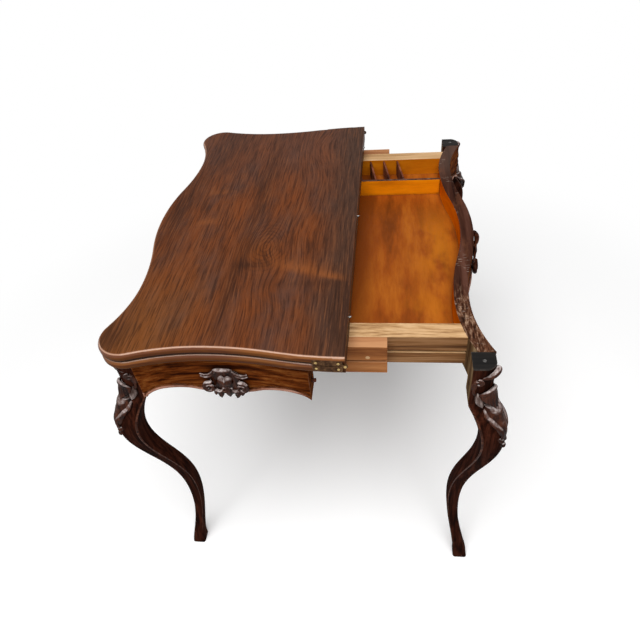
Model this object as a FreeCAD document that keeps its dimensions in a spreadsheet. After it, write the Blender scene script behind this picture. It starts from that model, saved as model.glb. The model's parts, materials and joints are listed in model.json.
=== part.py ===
import FreeCAD, Part
import math
import os
import Sketcher
from FreeCAD import Placement, Rotation, Vector

doc = FreeCAD.newDocument("GamesTable")

# Driving sizes in millimetres. The hinge line of the top is the base of the plan sizes.
sizes = {
    "table_height": 760,
    "leaf_thick": 19.75,
    "leaf_gap": 0.5,
    "leaf_depth": 464,
    "leaf_length": 898,
    "leaf_corner": 54,
    "long_waist_at": 253,
    "long_waist_inset": 31.5,
    "short_waist_at": 257,
    "short_waist_inset": 22.5,
    "edge_round": 8,
    "pull_rest": 277,
    "frame_inset": 17,
    "frame_clear": 1,
    "close_gap": 0.5,
    "close_overhang": 12,
    "block_side": 42,
    "block_corner": 17,
    "apron_thick": 29,
    "short_apron_thick": 49,
    "apron_end_depth": 98,
    "apron_arch_depth": 79,
    "apron_cusp_depth": 86,
    "apron_lobe_depth": 101,
    "bracket_run": 44,
    "long_lobe": 78,
    "short_lobe": 70,
    "bead_proud": 2.5,
    "bead_tall": 7,
    "tenon_thick": 10,
    "tenon_long": 18,
    "tenon_tall": 55,
    "tenon_drop": 15,
    "tenon_inset": 10,
    "slide_gap": 0.5,
    "slide_tall": 69,
    "loper_width": 26,
    "loper_long": 322,
    "loper_end_gap": 1,
    "rail_width": 37,
    "rail_reach": 351,
    "groove_drop": 38,
    "groove_tall": 6.5,
    "groove_deep": 10,
    "groove_stop": 6,
    "tongue_tall": 6,
    "tongue_deep": 9.5,
    "tongue_long": 58,
    "tongue_back": 4,
    "key_long": 74,
    "key_housing": 4,
    "dowel_round": 4,
    "dowel_from_end": 36,
    "dowel_drop": 28,
    "floor_thick": 9,
    "floor_drop": 44,
    "floor_housing": 6,
    "end_wall_thick": 12,
    "partition_at": 212,
    "partition_thick": 8,
    "partition_drop": 2,
    "divider_thick": 4,
    "divider_pitch": 36,
    "divider_slant": 17,
    "divider_first": -18,
    "divider_drop": 3,
    "peg_round": 4,
    "peg_proud": 10,
    "peg_set": 20,
    "peg_drop": 62,
    "socket_gap": 0.6,
    "cap_thick": 2,
    "cap_drop": 1,
    "strap_long": 58,
    "strap_tall": 13,
    "strap_thick": 2.5,
    "strap_off_seam": 0.75,
    "eye_round": 4.5,
    "eye_thick": 1.2,
    "eye_arm": 8,
    "rivet_round": 1.5,
    "rivet_head_round": 2.8,
    "rivet_head_tall": 0.8,
    "turn_gap": 0.3,
    "strap_screw_near": 12,
    "strap_screw_far": 51,
    "small_screw_round": 1.3,
    "small_screw_long": 14,
    "small_head_round": 2.6,
    "small_head_tall": 0.9,
    "fixing_screw_round": 2,
    "fixing_screw_long": 32,
    "fixing_head_round": 4.5,
    "fixing_head_tall": 3,
    "fixing_in_leaf": 13,
    "fixing_well_gap": 0.5,
    "fixing_near": 120,
    "fixing_far": 330,
    "fixing_from_inside": 13,
    "cap_screw_round": 1.5,
    "cap_screw_long": 16,
    "cap_head_round": 3.2,
    "cap_head_tall": 0.7,
    "lining_thick": 1.5,
    "lining_border": 38,
    "lining_sunk": 0.3,
    "stud_round": 2.2,
    "stud_long": 5,
    "stud_socket_round": 4.6,
    "stud_socket_deep": 7,
    "stud_plate_long": 26,
    "stud_plate_tall": 8,
    "stud_plate_thick": 1.5,
    "stud_apart": 335,
    "block_long": 40,
    "block_deep": 16,
    "block_tall": 34,
    "block_apart": 90,
    "block_fit": 8,
    "carve_thick": 5,
    "carve_sunk": 6,
    "carve_tier": 5,
    "cartouche_half": 44,
    "cartouche_up": 41,
    "cartouche_down": 45,
    "cartouche_drop": 71,
    "boss_half": 19,
    "boss_tall": 16,
    "boss_proud": 16,
    "ridge_round": 9,
    "side_round": 1.2,
}

# Stations down a cabriole leg: level, how far the section stands outwards and its width.
# The knee's levels are drops below the frame's top, and the shank's are shares of the frame's height.
knee_stations = {
    "shoulder": (128, 15.5, 45),
    "knee": (167, 27.5, 45),
}
shank_stations = {
    "calf": (0.667, 24, 39),
    "shin": (0.539, 3.5, 34),
    "lower_shin": (0.403, -13.5, 31),
    "ankle": (0.294, -15, 27.5),
    "instep": (0.164, -5, 23.5),
    "toe": (0.067, 8.5, 27),
    "foot": (0, 16, 34),
}
for stations, level_name in ((knee_stations, "_drop"), (shank_stations, "_share")):
    for station, (level, out, width) in stations.items():
        sizes[station + level_name] = level
        sizes[station + "_out"] = out
        sizes[station + "_width"] = width
        sizes[station + "_soft"] = 6
leg_stations = ["block"] + list(knee_stations) + list(shank_stations)

sheet = doc.addObject("Spreadsheet::Sheet", "Sizes")
for row, (alias, number) in enumerate(sizes.items(), 1):
    sheet.set(f"A{row}", alias.replace("_", " "))
    sheet.set(f"B{row}", str(number))
    sheet.setAlias(f"B{row}", alias)
doc.recompute()


class Size:
    """A length together with the sheet expression that gives it."""

    def __init__(self, value, text):
        self.value = value
        self.text = text

    def __add__(self, other):
        other = as_size(other)
        return Size(self.value + other.value, f"({self.text} + {other.text})")

    def __sub__(self, other):
        other = as_size(other)
        return Size(self.value - other.value, f"({self.text} - {other.text})")

    def __mul__(self, other):
        other = as_size(other)
        return Size(self.value * other.value, f"({self.text} * {other.text})")

    def __truediv__(self, other):
        other = as_size(other)
        return Size(self.value / other.value, f"({self.text} / {other.text})")

    def __neg__(self):
        return Size(-self.value, f"(-1 * {self.text})")


def as_size(number):
    return number if isinstance(number, Size) else Size(float(number), str(number))


def root(size):
    return Size(math.sqrt(size.value), f"sqrt{size.text}")


def cell(alias):
    return Size(float(sheet.get(alias)), f"Sizes.{alias}")


def bind(thing, prop, size):
    thing.setExpression(prop, as_size(size).text)


zero = as_size(0)
overrun = as_size(5)
subparts = []


def named(thing, label):
    thing.Label = label
    subparts.append(thing)
    return thing


def place(thing, x=zero, y=zero, z=zero, rotation=None):
    thing.Placement = Placement(Vector(x.value, y.value, z.value), rotation or Rotation())
    for axis, size in zip("xyz", (x, y, z)):
        bind(thing, f"Placement.Base.{axis}", size)


def new_body(name):
    return doc.addObject("PartDesign::Body", name)


def plane_of(body, role):
    return [feature for feature in body.Origin.OriginFeatures if feature.Role == role][0]


def sketch_on(body, role, level=zero):
    sketch = body.newObject("Sketcher::SketchObject", body.Name + "_sketch")
    sketch.AttachmentSupport = [(plane_of(body, role), "")]
    sketch.MapMode = "FlatFace"
    sketch.AttachmentOffset = Placement(Vector(0, 0, level.value), Rotation())
    bind(sketch, "AttachmentOffset.Base.z", level)
    return sketch


def constrain(sketch, kind, places, size):
    index = sketch.addConstraint(Sketcher.Constraint(kind, *places, size.value))
    bind(sketch, f"Constraints[{index}]", size)


def arc_between(start, stop, radius, turn):
    chord = stop - start
    reach = math.sqrt(max(radius ** 2 - chord.Length ** 2 / 4, 0))
    across = Vector(-chord.y, chord.x, 0).normalize()
    centre = (start + stop) * 0.5 + across * (turn * reach)
    first, last = (start, stop) if turn > 0 else (stop, start)
    angles = [math.atan2(point.y - centre.y, point.x - centre.x) for point in (first, last)]
    if angles[1] < angles[0]:
        angles[1] += 2 * math.pi
    return Part.ArcOfCircle(Part.Circle(centre, Vector(0, 0, 1), radius), *angles)


def draw(sketch, corners):
    """Draws a closed outline. Each corner is (x, y, bend), and the bend of the side that leaves
    it is None for a straight side or (radius, turn), turn 1 for left and -1 for right."""
    first = sketch.GeometryCount
    count = len(corners)
    ends = []
    for (x, y, bend), (next_x, next_y, _) in zip(corners, corners[1:] + corners[:1]):
        start = Vector(x.value, y.value, 0)
        stop = Vector(next_x.value, next_y.value, 0)
        if bend is None:
            sketch.addGeometry(Part.LineSegment(start, stop), False)
        else:
            sketch.addGeometry(arc_between(start, stop, bend[0].value, bend[1]), False)
        ends.append((1, 2) if bend is None or bend[1] > 0 else (2, 1))
    for side, (x, y, bend) in enumerate(corners):
        following = (side + 1) % count
        joint = (first + side, ends[side][1], first + following, ends[following][0])
        sketch.addConstraint(Sketcher.Constraint("Coincident", *joint))
        constrain(sketch, "DistanceX", (-1, 1, first + side, ends[side][0]), x)
        constrain(sketch, "DistanceY", (-1, 1, first + side, ends[side][0]), y)
        if bend is not None:
            constrain(sketch, "Radius", (first + side,), bend[0])


def bowed(points):
    """Turns (x, y, bulge) points into corners. The bulge is the rise of the side that leaves the
    point over half its length: 0 is straight, positive turns left and negative turns right."""
    corners = []
    for (x, y, bulge), (next_x, next_y, _) in zip(points, points[1:] + points[:1]):
        bend = None
        if bulge:
            chord = root((next_x - x) * (next_x - x) + (next_y - y) * (next_y - y))
            bend = (chord * ((1 + bulge * bulge) / (4 * abs(bulge))), 1 if bulge > 0 else -1)
        corners.append((x, y, bend))
    return corners


def box_outline(low_x, low_y, high_x, high_y):
    return [(low_x, low_y, None), (high_x, low_y, None), (high_x, high_y, None), (low_x, high_y, None)]


def draw_circle(sketch, x, y, radius):
    circle = Part.Circle(Vector(x.value, y.value, 0), Vector(0, 0, 1), radius.value)
    index = sketch.addGeometry(circle, False)
    constrain(sketch, "DistanceX", (-1, 1, index, 3), x)
    constrain(sketch, "DistanceY", (-1, 1, index, 3), y)
    constrain(sketch, "Radius", (index,), radius)


def feature_from(body, kind, sketch, length, reverse=False, both=False):
    feature = body.newObject("PartDesign::" + kind, body.Name + "_" + kind)
    feature.Profile = sketch
    feature.Reversed = reverse
    if both:
        feature.SideType = "Symmetric"
    bind(feature, "Length", length)
    return feature


def pad(body, role, level, outlines, length, reverse=False):
    sketch = sketch_on(body, role, level)
    for outline in outlines:
        draw(sketch, outline)
    return feature_from(body, "Pad", sketch, length, reverse)


def pocket(body, role, level, outlines, length, reverse=False, both=False):
    sketch = sketch_on(body, role, level)
    for outline in outlines:
        draw(sketch, outline)
    return feature_from(body, "Pocket", sketch, length, reverse, both)


def drill(body, role, level, centres, radius, length, reverse=False):
    sketch = sketch_on(body, role, level)
    for x, y in centres:
        draw_circle(sketch, x, y, radius)
    return feature_from(body, "Pocket", sketch, length, reverse)


def post(body, role, level, x, y, radius, length, reverse=False):
    sketch = sketch_on(body, role, level)
    draw_circle(sketch, x, y, radius)
    return feature_from(body, "Pad", sketch, length, reverse)


def round_edges(body, base, radius, chosen):
    doc.recompute()
    fillet = body.newObject("PartDesign::Fillet", body.Name + "_round")
    fillet.Base = (base, [f"Edge{k}" for k, edge in enumerate(base.Shape.Edges, 1) if chosen(edge)])
    bind(fillet, "Radius", radius)
    return fillet


def mirror(source, label, across):
    copy = doc.addObject("Part::Mirroring", label + "_mirror")
    copy.Source = source
    copy.Normal = across
    return named(copy, label)


def cut(base, tool, name):
    result = doc.addObject("Part::Cut", name)
    result.Base = base
    result.Tool = tool
    return result


def pair(pieces, label):
    group = doc.addObject("Part::Compound", label + "_pair")
    group.Links = pieces
    return named(group, label)


def fuse(pieces, name):
    result = doc.addObject("Part::MultiFuse", name)
    result.Shapes = pieces
    result.Refine = True
    return result


across_x = Vector(1, 0, 0)
across_y = Vector(0, 1, 0)

# Heights.
leaf_thick = cell("leaf_thick")
leaf_gap = cell("leaf_gap")
pivot_z = cell("table_height") - leaf_thick - leaf_gap / 2
frame_top = pivot_z - leaf_gap / 2 - leaf_thick
pull_top = frame_top - cell("frame_clear")
slide_low = pull_top - cell("slide_tall")

# Plan of the serpentine top: two equal arcs from each bow to its waist, and one from waist to corner.
depth = cell("leaf_depth")
half_long = cell("leaf_length") / 2
corner = cell("leaf_corner")
long_at = cell("long_waist_at")
long_in = cell("long_waist_inset")
short_at = cell("short_waist_at")
short_in = cell("short_waist_inset")
long_bow = (long_at * long_at + long_in * long_in) / (long_in * 4)
short_bow = (short_at * short_at + short_in * short_in) / (short_in * 4)
long_run = half_long - corner - long_at
short_run = depth - corner - short_at
long_hollow = (long_run * long_run + long_in * long_in - corner * long_in * 2) / (long_in * 2)
short_hollow = (short_run * short_run + short_in * short_in - corner * short_in * 2) / (short_in * 2)
hinge_x = (depth - cell("pull_rest")) / 2
seam = leaf_gap / 2


def front_bow_y(x, inset):
    return short_bow - half_long - root((short_bow - inset) * (short_bow - inset) - x * x)


def front_hollow_y(x, inset):
    reach = short_hollow + inset
    return short_in - half_long - short_hollow + root(reach * reach - (x + short_at) * (x + short_at))


def left_hollow_x(y, inset):
    reach = long_hollow + inset
    return long_in - depth - long_hollow + root(reach * reach - (y - long_at) * (y - long_at))


def front_waist_points(inset):
    """Bow to waist of the front edge, from the hinge line outwards."""
    share = inset / (short_bow * 2)
    turn_x = share * short_at - short_at / 2
    turn_y = short_in / 2 - half_long + share * (short_bow * 2 - short_in)
    return [(turn_x, turn_y), (-short_at, short_in - half_long + inset)]


def left_waist_points(inset):
    """Waist to bow of the left edge, on the front half."""
    share = inset / (long_bow * 2)
    turn_x = long_in / 2 - depth + share * (long_bow * 2 - long_in)
    turn_y = share * long_at - long_at / 2
    return [(long_in - depth + inset, -long_at), (turn_x, turn_y)]


def corner_points(inset):
    """Where the corner arc meets the hollow of the front edge and of the left edge."""
    reach = corner - inset
    front_share = reach / (short_hollow + corner)
    left_share = reach / (long_hollow + corner)
    centre_x = corner - depth
    centre_y = corner - half_long
    front_x = centre_x + front_share * short_run
    front_y = centre_y + front_share * (short_in - short_hollow - corner)
    left_x = centre_x + left_share * (long_in - long_hollow - corner)
    left_y = centre_y + left_share * long_run
    return [(front_x, front_y), (left_x, left_y)]


def leaf_outline(inset):
    (turn_x, turn_y), (waist_x, waist_y) = front_waist_points(inset)
    (near_x, near_y), (far_x, far_y) = corner_points(inset)
    (hollow_x, hollow_y), (swing_x, swing_y) = left_waist_points(inset)
    bow = (short_bow - inset, -1)
    waist = (short_bow + inset, 1)
    hollow = (short_hollow + inset, 1)
    rounded = (corner - inset, -1)
    side_hollow = (long_hollow + inset, 1)
    side_waist = (long_bow + inset, 1)
    side_bow = (long_bow - inset, -1)
    start_y = front_bow_y(-seam, inset)
    return [
        (-seam, start_y, bow),
        (turn_x, turn_y, waist),
        (waist_x, waist_y, hollow),
        (near_x, near_y, rounded),
        (far_x, far_y, side_hollow),
        (hollow_x, hollow_y, side_waist),
        (swing_x, swing_y, side_bow),
        (swing_x, -swing_y, side_waist),
        (hollow_x, -hollow_y, side_hollow),
        (far_x, -far_y, rounded),
        (near_x, -near_y, hollow),
        (waist_x, -waist_y, waist),
        (turn_x, -turn_y, bow),
        (-seam, -start_y, None),
    ]


def left_band(outer, inner, end):
    """Plan of a strip that follows the left edge between two insets and ends at y = end."""

    def side(inset, reverse):
        (hollow_x, hollow_y), (swing_x, swing_y) = left_waist_points(inset)
        end_x = left_hollow_x(end, inset)
        sign = -1 if reverse else 1
        hollow = (long_hollow + inset, sign)
        waist = (long_bow + inset, sign)
        bow = (long_bow - inset, -sign)
        up = end if reverse else -end
        low = -1 if reverse else 1
        return [
            (end_x, up, hollow),
            (hollow_x, hollow_y * low, waist),
            (swing_x, swing_y * low, bow),
            (swing_x, -swing_y * low, waist),
            (hollow_x, -hollow_y * low, hollow),
            (end_x, -up, None),
        ]

    return side(outer, False) + side(inner, True)


def front_band(outer, left, right, inner_y):
    """Plan of a strip with the front edge's curve outside and a straight or curved back."""
    (turn_x, turn_y), (waist_x, waist_y) = front_waist_points(outer)
    bow = short_bow - outer
    waist = short_bow + outer
    hollow = short_hollow + outer
    points = [
        (right, front_bow_y(right, outer), (bow, -1)),
        (turn_x, turn_y, (waist, 1)),
        (waist_x, waist_y, (hollow, 1)),
        (left, front_hollow_y(left, outer), None),
    ]
    if inner_y is not None:
        return points + [(left, inner_y, None), (right, inner_y, None)]
    inset = cell("frame_inset")
    (turn_x, turn_y), (waist_x, waist_y) = front_waist_points(inset)
    return points + [
        (left, front_hollow_y(left, inset), (short_hollow + inset, -1)),
        (waist_x, waist_y, (short_bow + inset, -1)),
        (turn_x, turn_y, (short_bow - inset, 1)),
        (right, front_bow_y(right, inset), None),
    ]


inset = cell("frame_inset")
block = cell("block_side")
apron_thick = cell("apron_thick")
block_x = inset + block / 2 - depth
block_y = inset + block / 2 - half_long
long_end = half_long - inset - block
short_left = inset + block - depth
close_overhang = cell("close_overhang")
short_right = -(inset + close_overhang + block + cell("close_gap"))
short_mid = (short_left + short_right) / 2
short_half = (short_right - short_left) / 2
short_inner = inset + cell("short_apron_thick") - half_long


def scallop(middle, half, lobe, top, lift, closing):
    """Lower edge of an apron as the border of a cut that closes at the given height."""
    end_z = top - cell("apron_end_depth") + lift
    arch_z = top - cell("apron_arch_depth") + lift
    cusp_z = top - cell("apron_cusp_depth") + lift
    lobe_z = top - cell("apron_lobe_depth") + lift
    run = cell("bracket_run")
    rise = arch_z - end_z
    fall = arch_z - cusp_z
    drop = cusp_z - lobe_z
    span = half - run - lobe
    bracket = ((run * run + rise * rise) / (rise * 2), -1)
    arch = ((span * span + fall * fall) / (fall * 2), -1)
    belly = ((lobe * lobe + drop * drop) / (drop * 2), 1)
    return [
        (middle - half - overrun, end_z, None),
        (middle - half, end_z, bracket),
        (middle - half + run, arch_z, arch),
        (middle - lobe, cusp_z, belly),
        (middle + lobe, cusp_z, arch),
        (middle + half - run, arch_z, bracket),
        (middle + half, end_z, None),
        (middle + half + overrun, end_z, None),
        (middle + half + overrun, closing, None),
        (middle - half - overrun, closing, None),
    ]


through = depth * 4
tenon_set = inset + cell("tenon_inset")


def apron_pieces(name, plan, bead_plan, role, span, top):
    """An apron's blank with its scalloped edge, and the bead that follows the edge."""
    low = top - cell("apron_lobe_depth") - overrun
    height = top - low
    blank = new_body(name + "_blank")
    pad(blank, "XY_Plane", low, [plan], height)
    pocket(blank, role, zero, [scallop(*span, top, zero, low - overrun)], through, both=True)
    bead = new_body(name + "_bead")
    pad(bead, "XY_Plane", low, [bead_plan], height)
    pocket(bead, role, zero, [scallop(*span, top, zero, low - overrun)], through, both=True)
    lift = cell("bead_tall")
    pocket(bead, role, zero, [scallop(*span, top, lift, top + overrun)], through, both=True)
    return blank, bead


def long_apron(name, top):
    outer = inset - cell("bead_proud")
    plan = left_band(inset, inset + apron_thick, long_end)
    bead_plan = left_band(outer, inset, long_end)
    span = (zero, long_end, cell("long_lobe"))
    blank, bead = apron_pieces(name, plan, bead_plan, "YZ_Plane", span, top)
    tenon_near = tenon_set - depth
    tenon_far = tenon_near + cell("tenon_thick")
    reach = long_end + cell("tenon_long")
    tenons = [
        box_outline(tenon_near, -reach, tenon_far, overrun - long_end),
        box_outline(tenon_near, long_end - overrun, tenon_far, reach),
    ]
    pad(blank, "XY_Plane", top - cell("tenon_drop"), tenons, cell("tenon_tall"), reverse=True)
    joined = fuse([blank, bead], name)
    place(joined, hinge_x)
    return joined


left_apron = named(long_apron("left_apron_form", frame_top), "left_apron")
right_form = long_apron("right_apron_form", pull_top)
right_apron = mirror(right_form, "right_apron", across_x)

# Short aprons with the key housing, the peg hole and the wells of the fixing screws.
groove_z = pull_top - cell("groove_drop")
key_low = groove_z - cell("groove_tall") / 2 + (cell("groove_tall") - cell("tongue_tall")) / 2
key_left = short_right - cell("key_long")
key_out = short_inner - cell("key_housing")
peg_z = frame_top - cell("peg_drop")
fixing_y = short_inner - cell("fixing_from_inside")
fixing_spots = [(-cell("fixing_near"), fixing_y), (-cell("fixing_far"), fixing_y)]
fixing_head_z = frame_top + cell("fixing_in_leaf") - cell("fixing_screw_long")


def short_apron():
    outer = inset - cell("bead_proud")
    plan = front_band(inset, short_left, short_right, short_inner)
    bead_plan = front_band(outer, short_left, short_right, None)
    span = (short_mid, short_half, cell("short_lobe"))
    blank, bead = apron_pieces("front_apron_form", plan, bead_plan, "XZ_Plane", span, frame_top)
    tenon_near = tenon_set - half_long
    tenon_far = tenon_near + cell("tenon_thick")
    tenon = box_outline(short_left - cell("tenon_long"), tenon_near, short_left + overrun, tenon_far)
    pad(blank, "XY_Plane", frame_top - cell("tenon_drop"), [tenon], cell("tenon_tall"), reverse=True)
    housing = box_outline(key_left, key_out, short_right + overrun, short_inner + overrun)
    pocket(blank, "XY_Plane", key_low + cell("tongue_tall"), [housing], cell("tongue_tall"))
    drill(blank, "YZ_Plane", short_right, [(block_y, peg_z)], cell("peg_round"), cell("peg_set"))
    well = cell("fixing_head_round") + cell("fixing_well_gap")
    drill(blank, "XY_Plane", fixing_head_z, fixing_spots, well, through)
    drill(blank, "XY_Plane", frame_top, fixing_spots, cell("fixing_screw_round"), through)
    joined = fuse([blank, bead], "front_apron_form")
    place(joined, hinge_x)
    return joined


front_apron = named(short_apron(), "front_apron")
mirror(front_apron, "back_apron", across_y)

key = new_body("front_guide_key_form")
key_reach = cell("slide_gap") + cell("tongue_deep")
key_plan = box_outline(key_left, key_out, short_right, short_inner + key_reach)
pad(key, "XY_Plane", key_low, [key_plan], cell("tongue_tall"))
place(key, hinge_x)
named(key, "front_guide_key")
mirror(key, "back_guide_key", across_y)

peg = new_body("front_locating_peg_form")
peg_round = cell("peg_round")
peg_set = cell("peg_set")
post(peg, "YZ_Plane", short_right - peg_set, block_y, peg_z, peg_round, peg_set + cell("peg_proud"))
round_edges(peg, peg.Tip, peg_round / 2, lambda edge: edge.BoundBox.XMin > short_right.value)
place(peg, hinge_x)
named(peg, "front_locating_peg")
mirror(peg, "back_locating_peg", across_y)


# Cabriole legs: a square block and a loft down to the foot, worked for the left front corner.
def station_level(station):
    if station == "block":
        return frame_top - cell("apron_end_depth")
    if station in shank_stations:
        return frame_top * cell(station + "_share")
    return frame_top - cell(station + "_drop")


def leg_section(body, station, shift=zero):
    square = station == "block"
    out = shift if square else cell(station + "_out") + shift
    half = (block if square else cell(station + "_width")) / 2
    soft = cell("side_round") if square else cell(station + "_soft")
    ridge = cell("ridge_round") if station in ("shoulder", "knee") else soft
    bend = ridge
    if square:
        ridge = cell("block_corner")
        bend = ridge * 1.5
    low = -out - half
    high = half - out
    sketch = sketch_on(body, "XY_Plane", station_level(station))
    draw(sketch, [
        (low + ridge, low, None),
        (high - soft, low, (soft, 1)),
        (high, low + soft, None),
        (high, high - soft, (soft, 1)),
        (high - soft, high, None),
        (low + soft, high, (soft, 1)),
        (low, high - soft, None),
        (low, low + ridge, (bend, 1)),
    ])
    return sketch


def block_top(body, top):
    sketch = leg_section(body, "block")
    return feature_from(body, "Pad", sketch, top - station_level("block"))


def loft(body, stations, shift=zero):
    sections = [leg_section(body, station, shift) for station in stations]
    feature = body.newObject("PartDesign::AdditiveLoft", body.Name + "_loft")
    feature.Profile = sections[0]
    feature.Sections = sections[1:]
    return feature


def plain_leg(name, top):
    """A leg without mortises. Its block goes as far down as the ends of the aprons."""
    body = new_body(name)
    block_top(body, top)
    loft(body, leg_stations)
    place(body, hinge_x + block_x, block_y)
    return body


def leg(name, top, mortises):
    body = plain_leg(name, top)
    near = cell("tenon_inset") - block / 2
    far = near + cell("tenon_thick")
    start = block / 2 - cell("tenon_long")
    stop = block / 2 + overrun
    outlines = [box_outline(near, start, far, stop), box_outline(start, near, stop, far)]
    pocket(body, "XY_Plane", top - cell("tenon_drop"), outlines[:mortises], cell("tenon_tall"))
    return body


left_front_leg = named(leg("left_front_leg_form", frame_top, 2), "left_front_leg")
mirror(left_front_leg, "left_back_leg", across_y)

cap_top = pull_top - cell("cap_drop")
cap_low = cap_top - cell("cap_thick")
right_leg = leg("right_leg_form", pull_top, 1)
lowering = box_outline(-block, -block, block, block)
pocket(right_leg, "XY_Plane", cap_low, [lowering], block, reverse=True)
socket = peg_round + cell("socket_gap")
socket_deep = cell("peg_proud") + cell("socket_gap") * 2
drill(right_leg, "YZ_Plane", block / 2, [(zero, peg_z)], socket, socket_deep)
drill(right_leg, "XY_Plane", cap_low, [(zero, zero)], cell("cap_screw_round"), cell("cap_screw_long"))
right_front_leg = mirror(right_leg, "right_front_leg", across_x)
mirror(right_front_leg, "right_back_leg", across_y)

leg_cap = new_body("leg_cap_form")
cap_sketch = leg_section(leg_cap, "block")
cap_sketch.AttachmentOffset = Placement(Vector(0, 0, cap_low.value), Rotation())
bind(cap_sketch, "AttachmentOffset.Base.z", cap_low)
feature_from(leg_cap, "Pad", cap_sketch, cell("cap_thick"))
drill(leg_cap, "XY_Plane", cap_top, [(zero, zero)], cell("cap_screw_round"), cell("cap_thick") * 2)
place(leg_cap, hinge_x + block_x, block_y)
front_cap = mirror(leg_cap, "front_leg_cap", across_x)
mirror(front_cap, "back_leg_cap", across_y)


# Slotted screws, with the head on local +Z.
def screw(name, kind, head):
    body = new_body(name)
    post(body, "XY_Plane", zero, zero, zero, cell(kind + "_round"), cell(kind + "_long"), reverse=True)
    domed = post(body, "XY_Plane", zero, zero, zero, cell(head + "_round"), cell(head + "_tall"))
    top = cell(head + "_tall")
    rim = round_edges(body, domed, top / 2, lambda edge: edge.BoundBox.ZMin > top.value * 0.9)
    slot = cell(head + "_round") / 5
    wide = cell(head + "_round") * 2
    pocket(body, "XY_Plane", top, [box_outline(-wide, -slot / 2, wide, slot / 2)], top / 2)
    return body


cap_screw = screw("cap_screw_form", "cap_screw", "cap_head")
place(cap_screw, -(hinge_x + block_x), block_y, cap_top)
named(cap_screw, "front_cap_screw")
mirror(cap_screw, "back_cap_screw", across_y)

# Two leaves with rounded edges, the lining recess and the hinge seats.
strap_thick = cell("strap_thick")
strap_off = cell("strap_off_seam")
strap_tall = cell("strap_tall")
strap_long = cell("strap_long")
screw_x = [-cell("strap_screw_near"), -cell("strap_screw_far")]
lining_thick = cell("lining_thick")
lining_sunk = cell("lining_sunk")
stud_rows = [-cell("stud_apart"), zero, cell("stud_apart")]


def strap_plan(outer_y, right):
    return [
        (right, outer_y, None),
        (-strap_long, outer_y, None),
        (-strap_long, front_bow_y(-strap_long, strap_thick), (short_bow - strap_thick, 1)),
        (right, front_bow_y(right, strap_thick), None),
    ]


def leaf(name, low, side):
    """A leaf whose playing face is its upper face for side -1 and its lower face for side 1."""
    body = new_body(name)
    blank = pad(body, "XY_Plane", low, [leaf_outline(zero)], leaf_thick)
    curved = lambda edge: isinstance(edge.Curve, Part.Circle) and edge.BoundBox.ZLength < 1
    round_edges(body, blank, cell("edge_round"), curved)
    face = low if side > 0 else low + leaf_thick
    recess = lining_thick + lining_sunk
    pocket(body, "XY_Plane", face, [leaf_outline(cell("lining_border"))], recess, reverse=side > 0)
    outer_y = -half_long - overrun
    strap_low = pivot_z + strap_off if side > 0 else pivot_z - strap_off - strap_tall
    seats = [pocket(body, "XY_Plane", strap_low, [strap_plan(outer_y, overrun)], strap_tall, reverse=True)]
    deep = overrun + strap_thick
    eye = cell("eye_round") + cell("turn_gap")
    seats.append(drill(body, "XZ_Plane", -outer_y, [(zero, pivot_z)], eye, deep))
    screw_z = strap_low + strap_tall / 2
    deep = overrun + cell("small_screw_long") + strap_thick
    spots = [(x, screw_z) for x in screw_x]
    seats.append(drill(body, "XZ_Plane", -outer_y, spots, cell("small_screw_round"), deep))
    both = body.newObject("PartDesign::Mirrored", name + "_mirrored")
    both.Originals = seats
    both.MirrorPlane = (plane_of(body, "XZ_Plane"), [""])
    body.Tip = both
    place(body, hinge_x)
    return body


lower_leaf = named(leaf("lower_leaf_form", frame_top, -1), "lower_leaf")
stud_spots = [(y, frame_top + leaf_thick / 2) for y in stud_rows]
drill(lower_leaf, "YZ_Plane", zero, stud_spots, cell("stud_socket_round"), cell("stud_socket_deep"))
pilots = fixing_spots + [(x, -y) for x, y in fixing_spots]
pilot_deep = cell("fixing_in_leaf")
drill(lower_leaf, "XY_Plane", frame_top, pilots, cell("fixing_screw_round"), pilot_deep, reverse=True)

upper_low = pivot_z + leaf_gap / 2
stud_z = upper_low + leaf_thick / 2
plate_thick = cell("stud_plate_thick")
plate_long = cell("stud_plate_long")
plate_tall = cell("stud_plate_tall")
upper_leaf = named(leaf("upper_leaf_form", upper_low, 1), "upper_leaf")
plate_plans = [
    box_outline(y - plate_long / 2, stud_z - plate_tall / 2, y + plate_long / 2, stud_z + plate_tall / 2)
    for y in stud_rows
]
pocket(upper_leaf, "YZ_Plane", zero, plate_plans, plate_thick + seam)

for label, y, plan in zip(("front_stud", "middle_stud", "back_stud"), stud_rows, plate_plans):
    stud = new_body(label + "_form")
    pad(stud, "YZ_Plane", -plate_thick - seam, [plan], plate_thick)
    post(stud, "YZ_Plane", -seam, y, stud_z, cell("stud_round"), cell("stud_long"))
    tip = (cell("stud_long") - seam).value
    round_edges(stud, stud.Tip, cell("stud_round") / 2, lambda edge: edge.BoundBox.XMin > tip * 0.9)
    place(stud, hinge_x)
    named(stud, label)

for label, low in (("lower_lining", pivot_z - leaf_gap / 2 - lining_sunk - lining_thick),
                   ("upper_lining", upper_low + lining_sunk)):
    lining = new_body(label + "_form")
    pad(lining, "XY_Plane", low, [leaf_outline(cell("lining_border"))], lining_thick)
    place(lining, hinge_x)
    named(lining, label)


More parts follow.
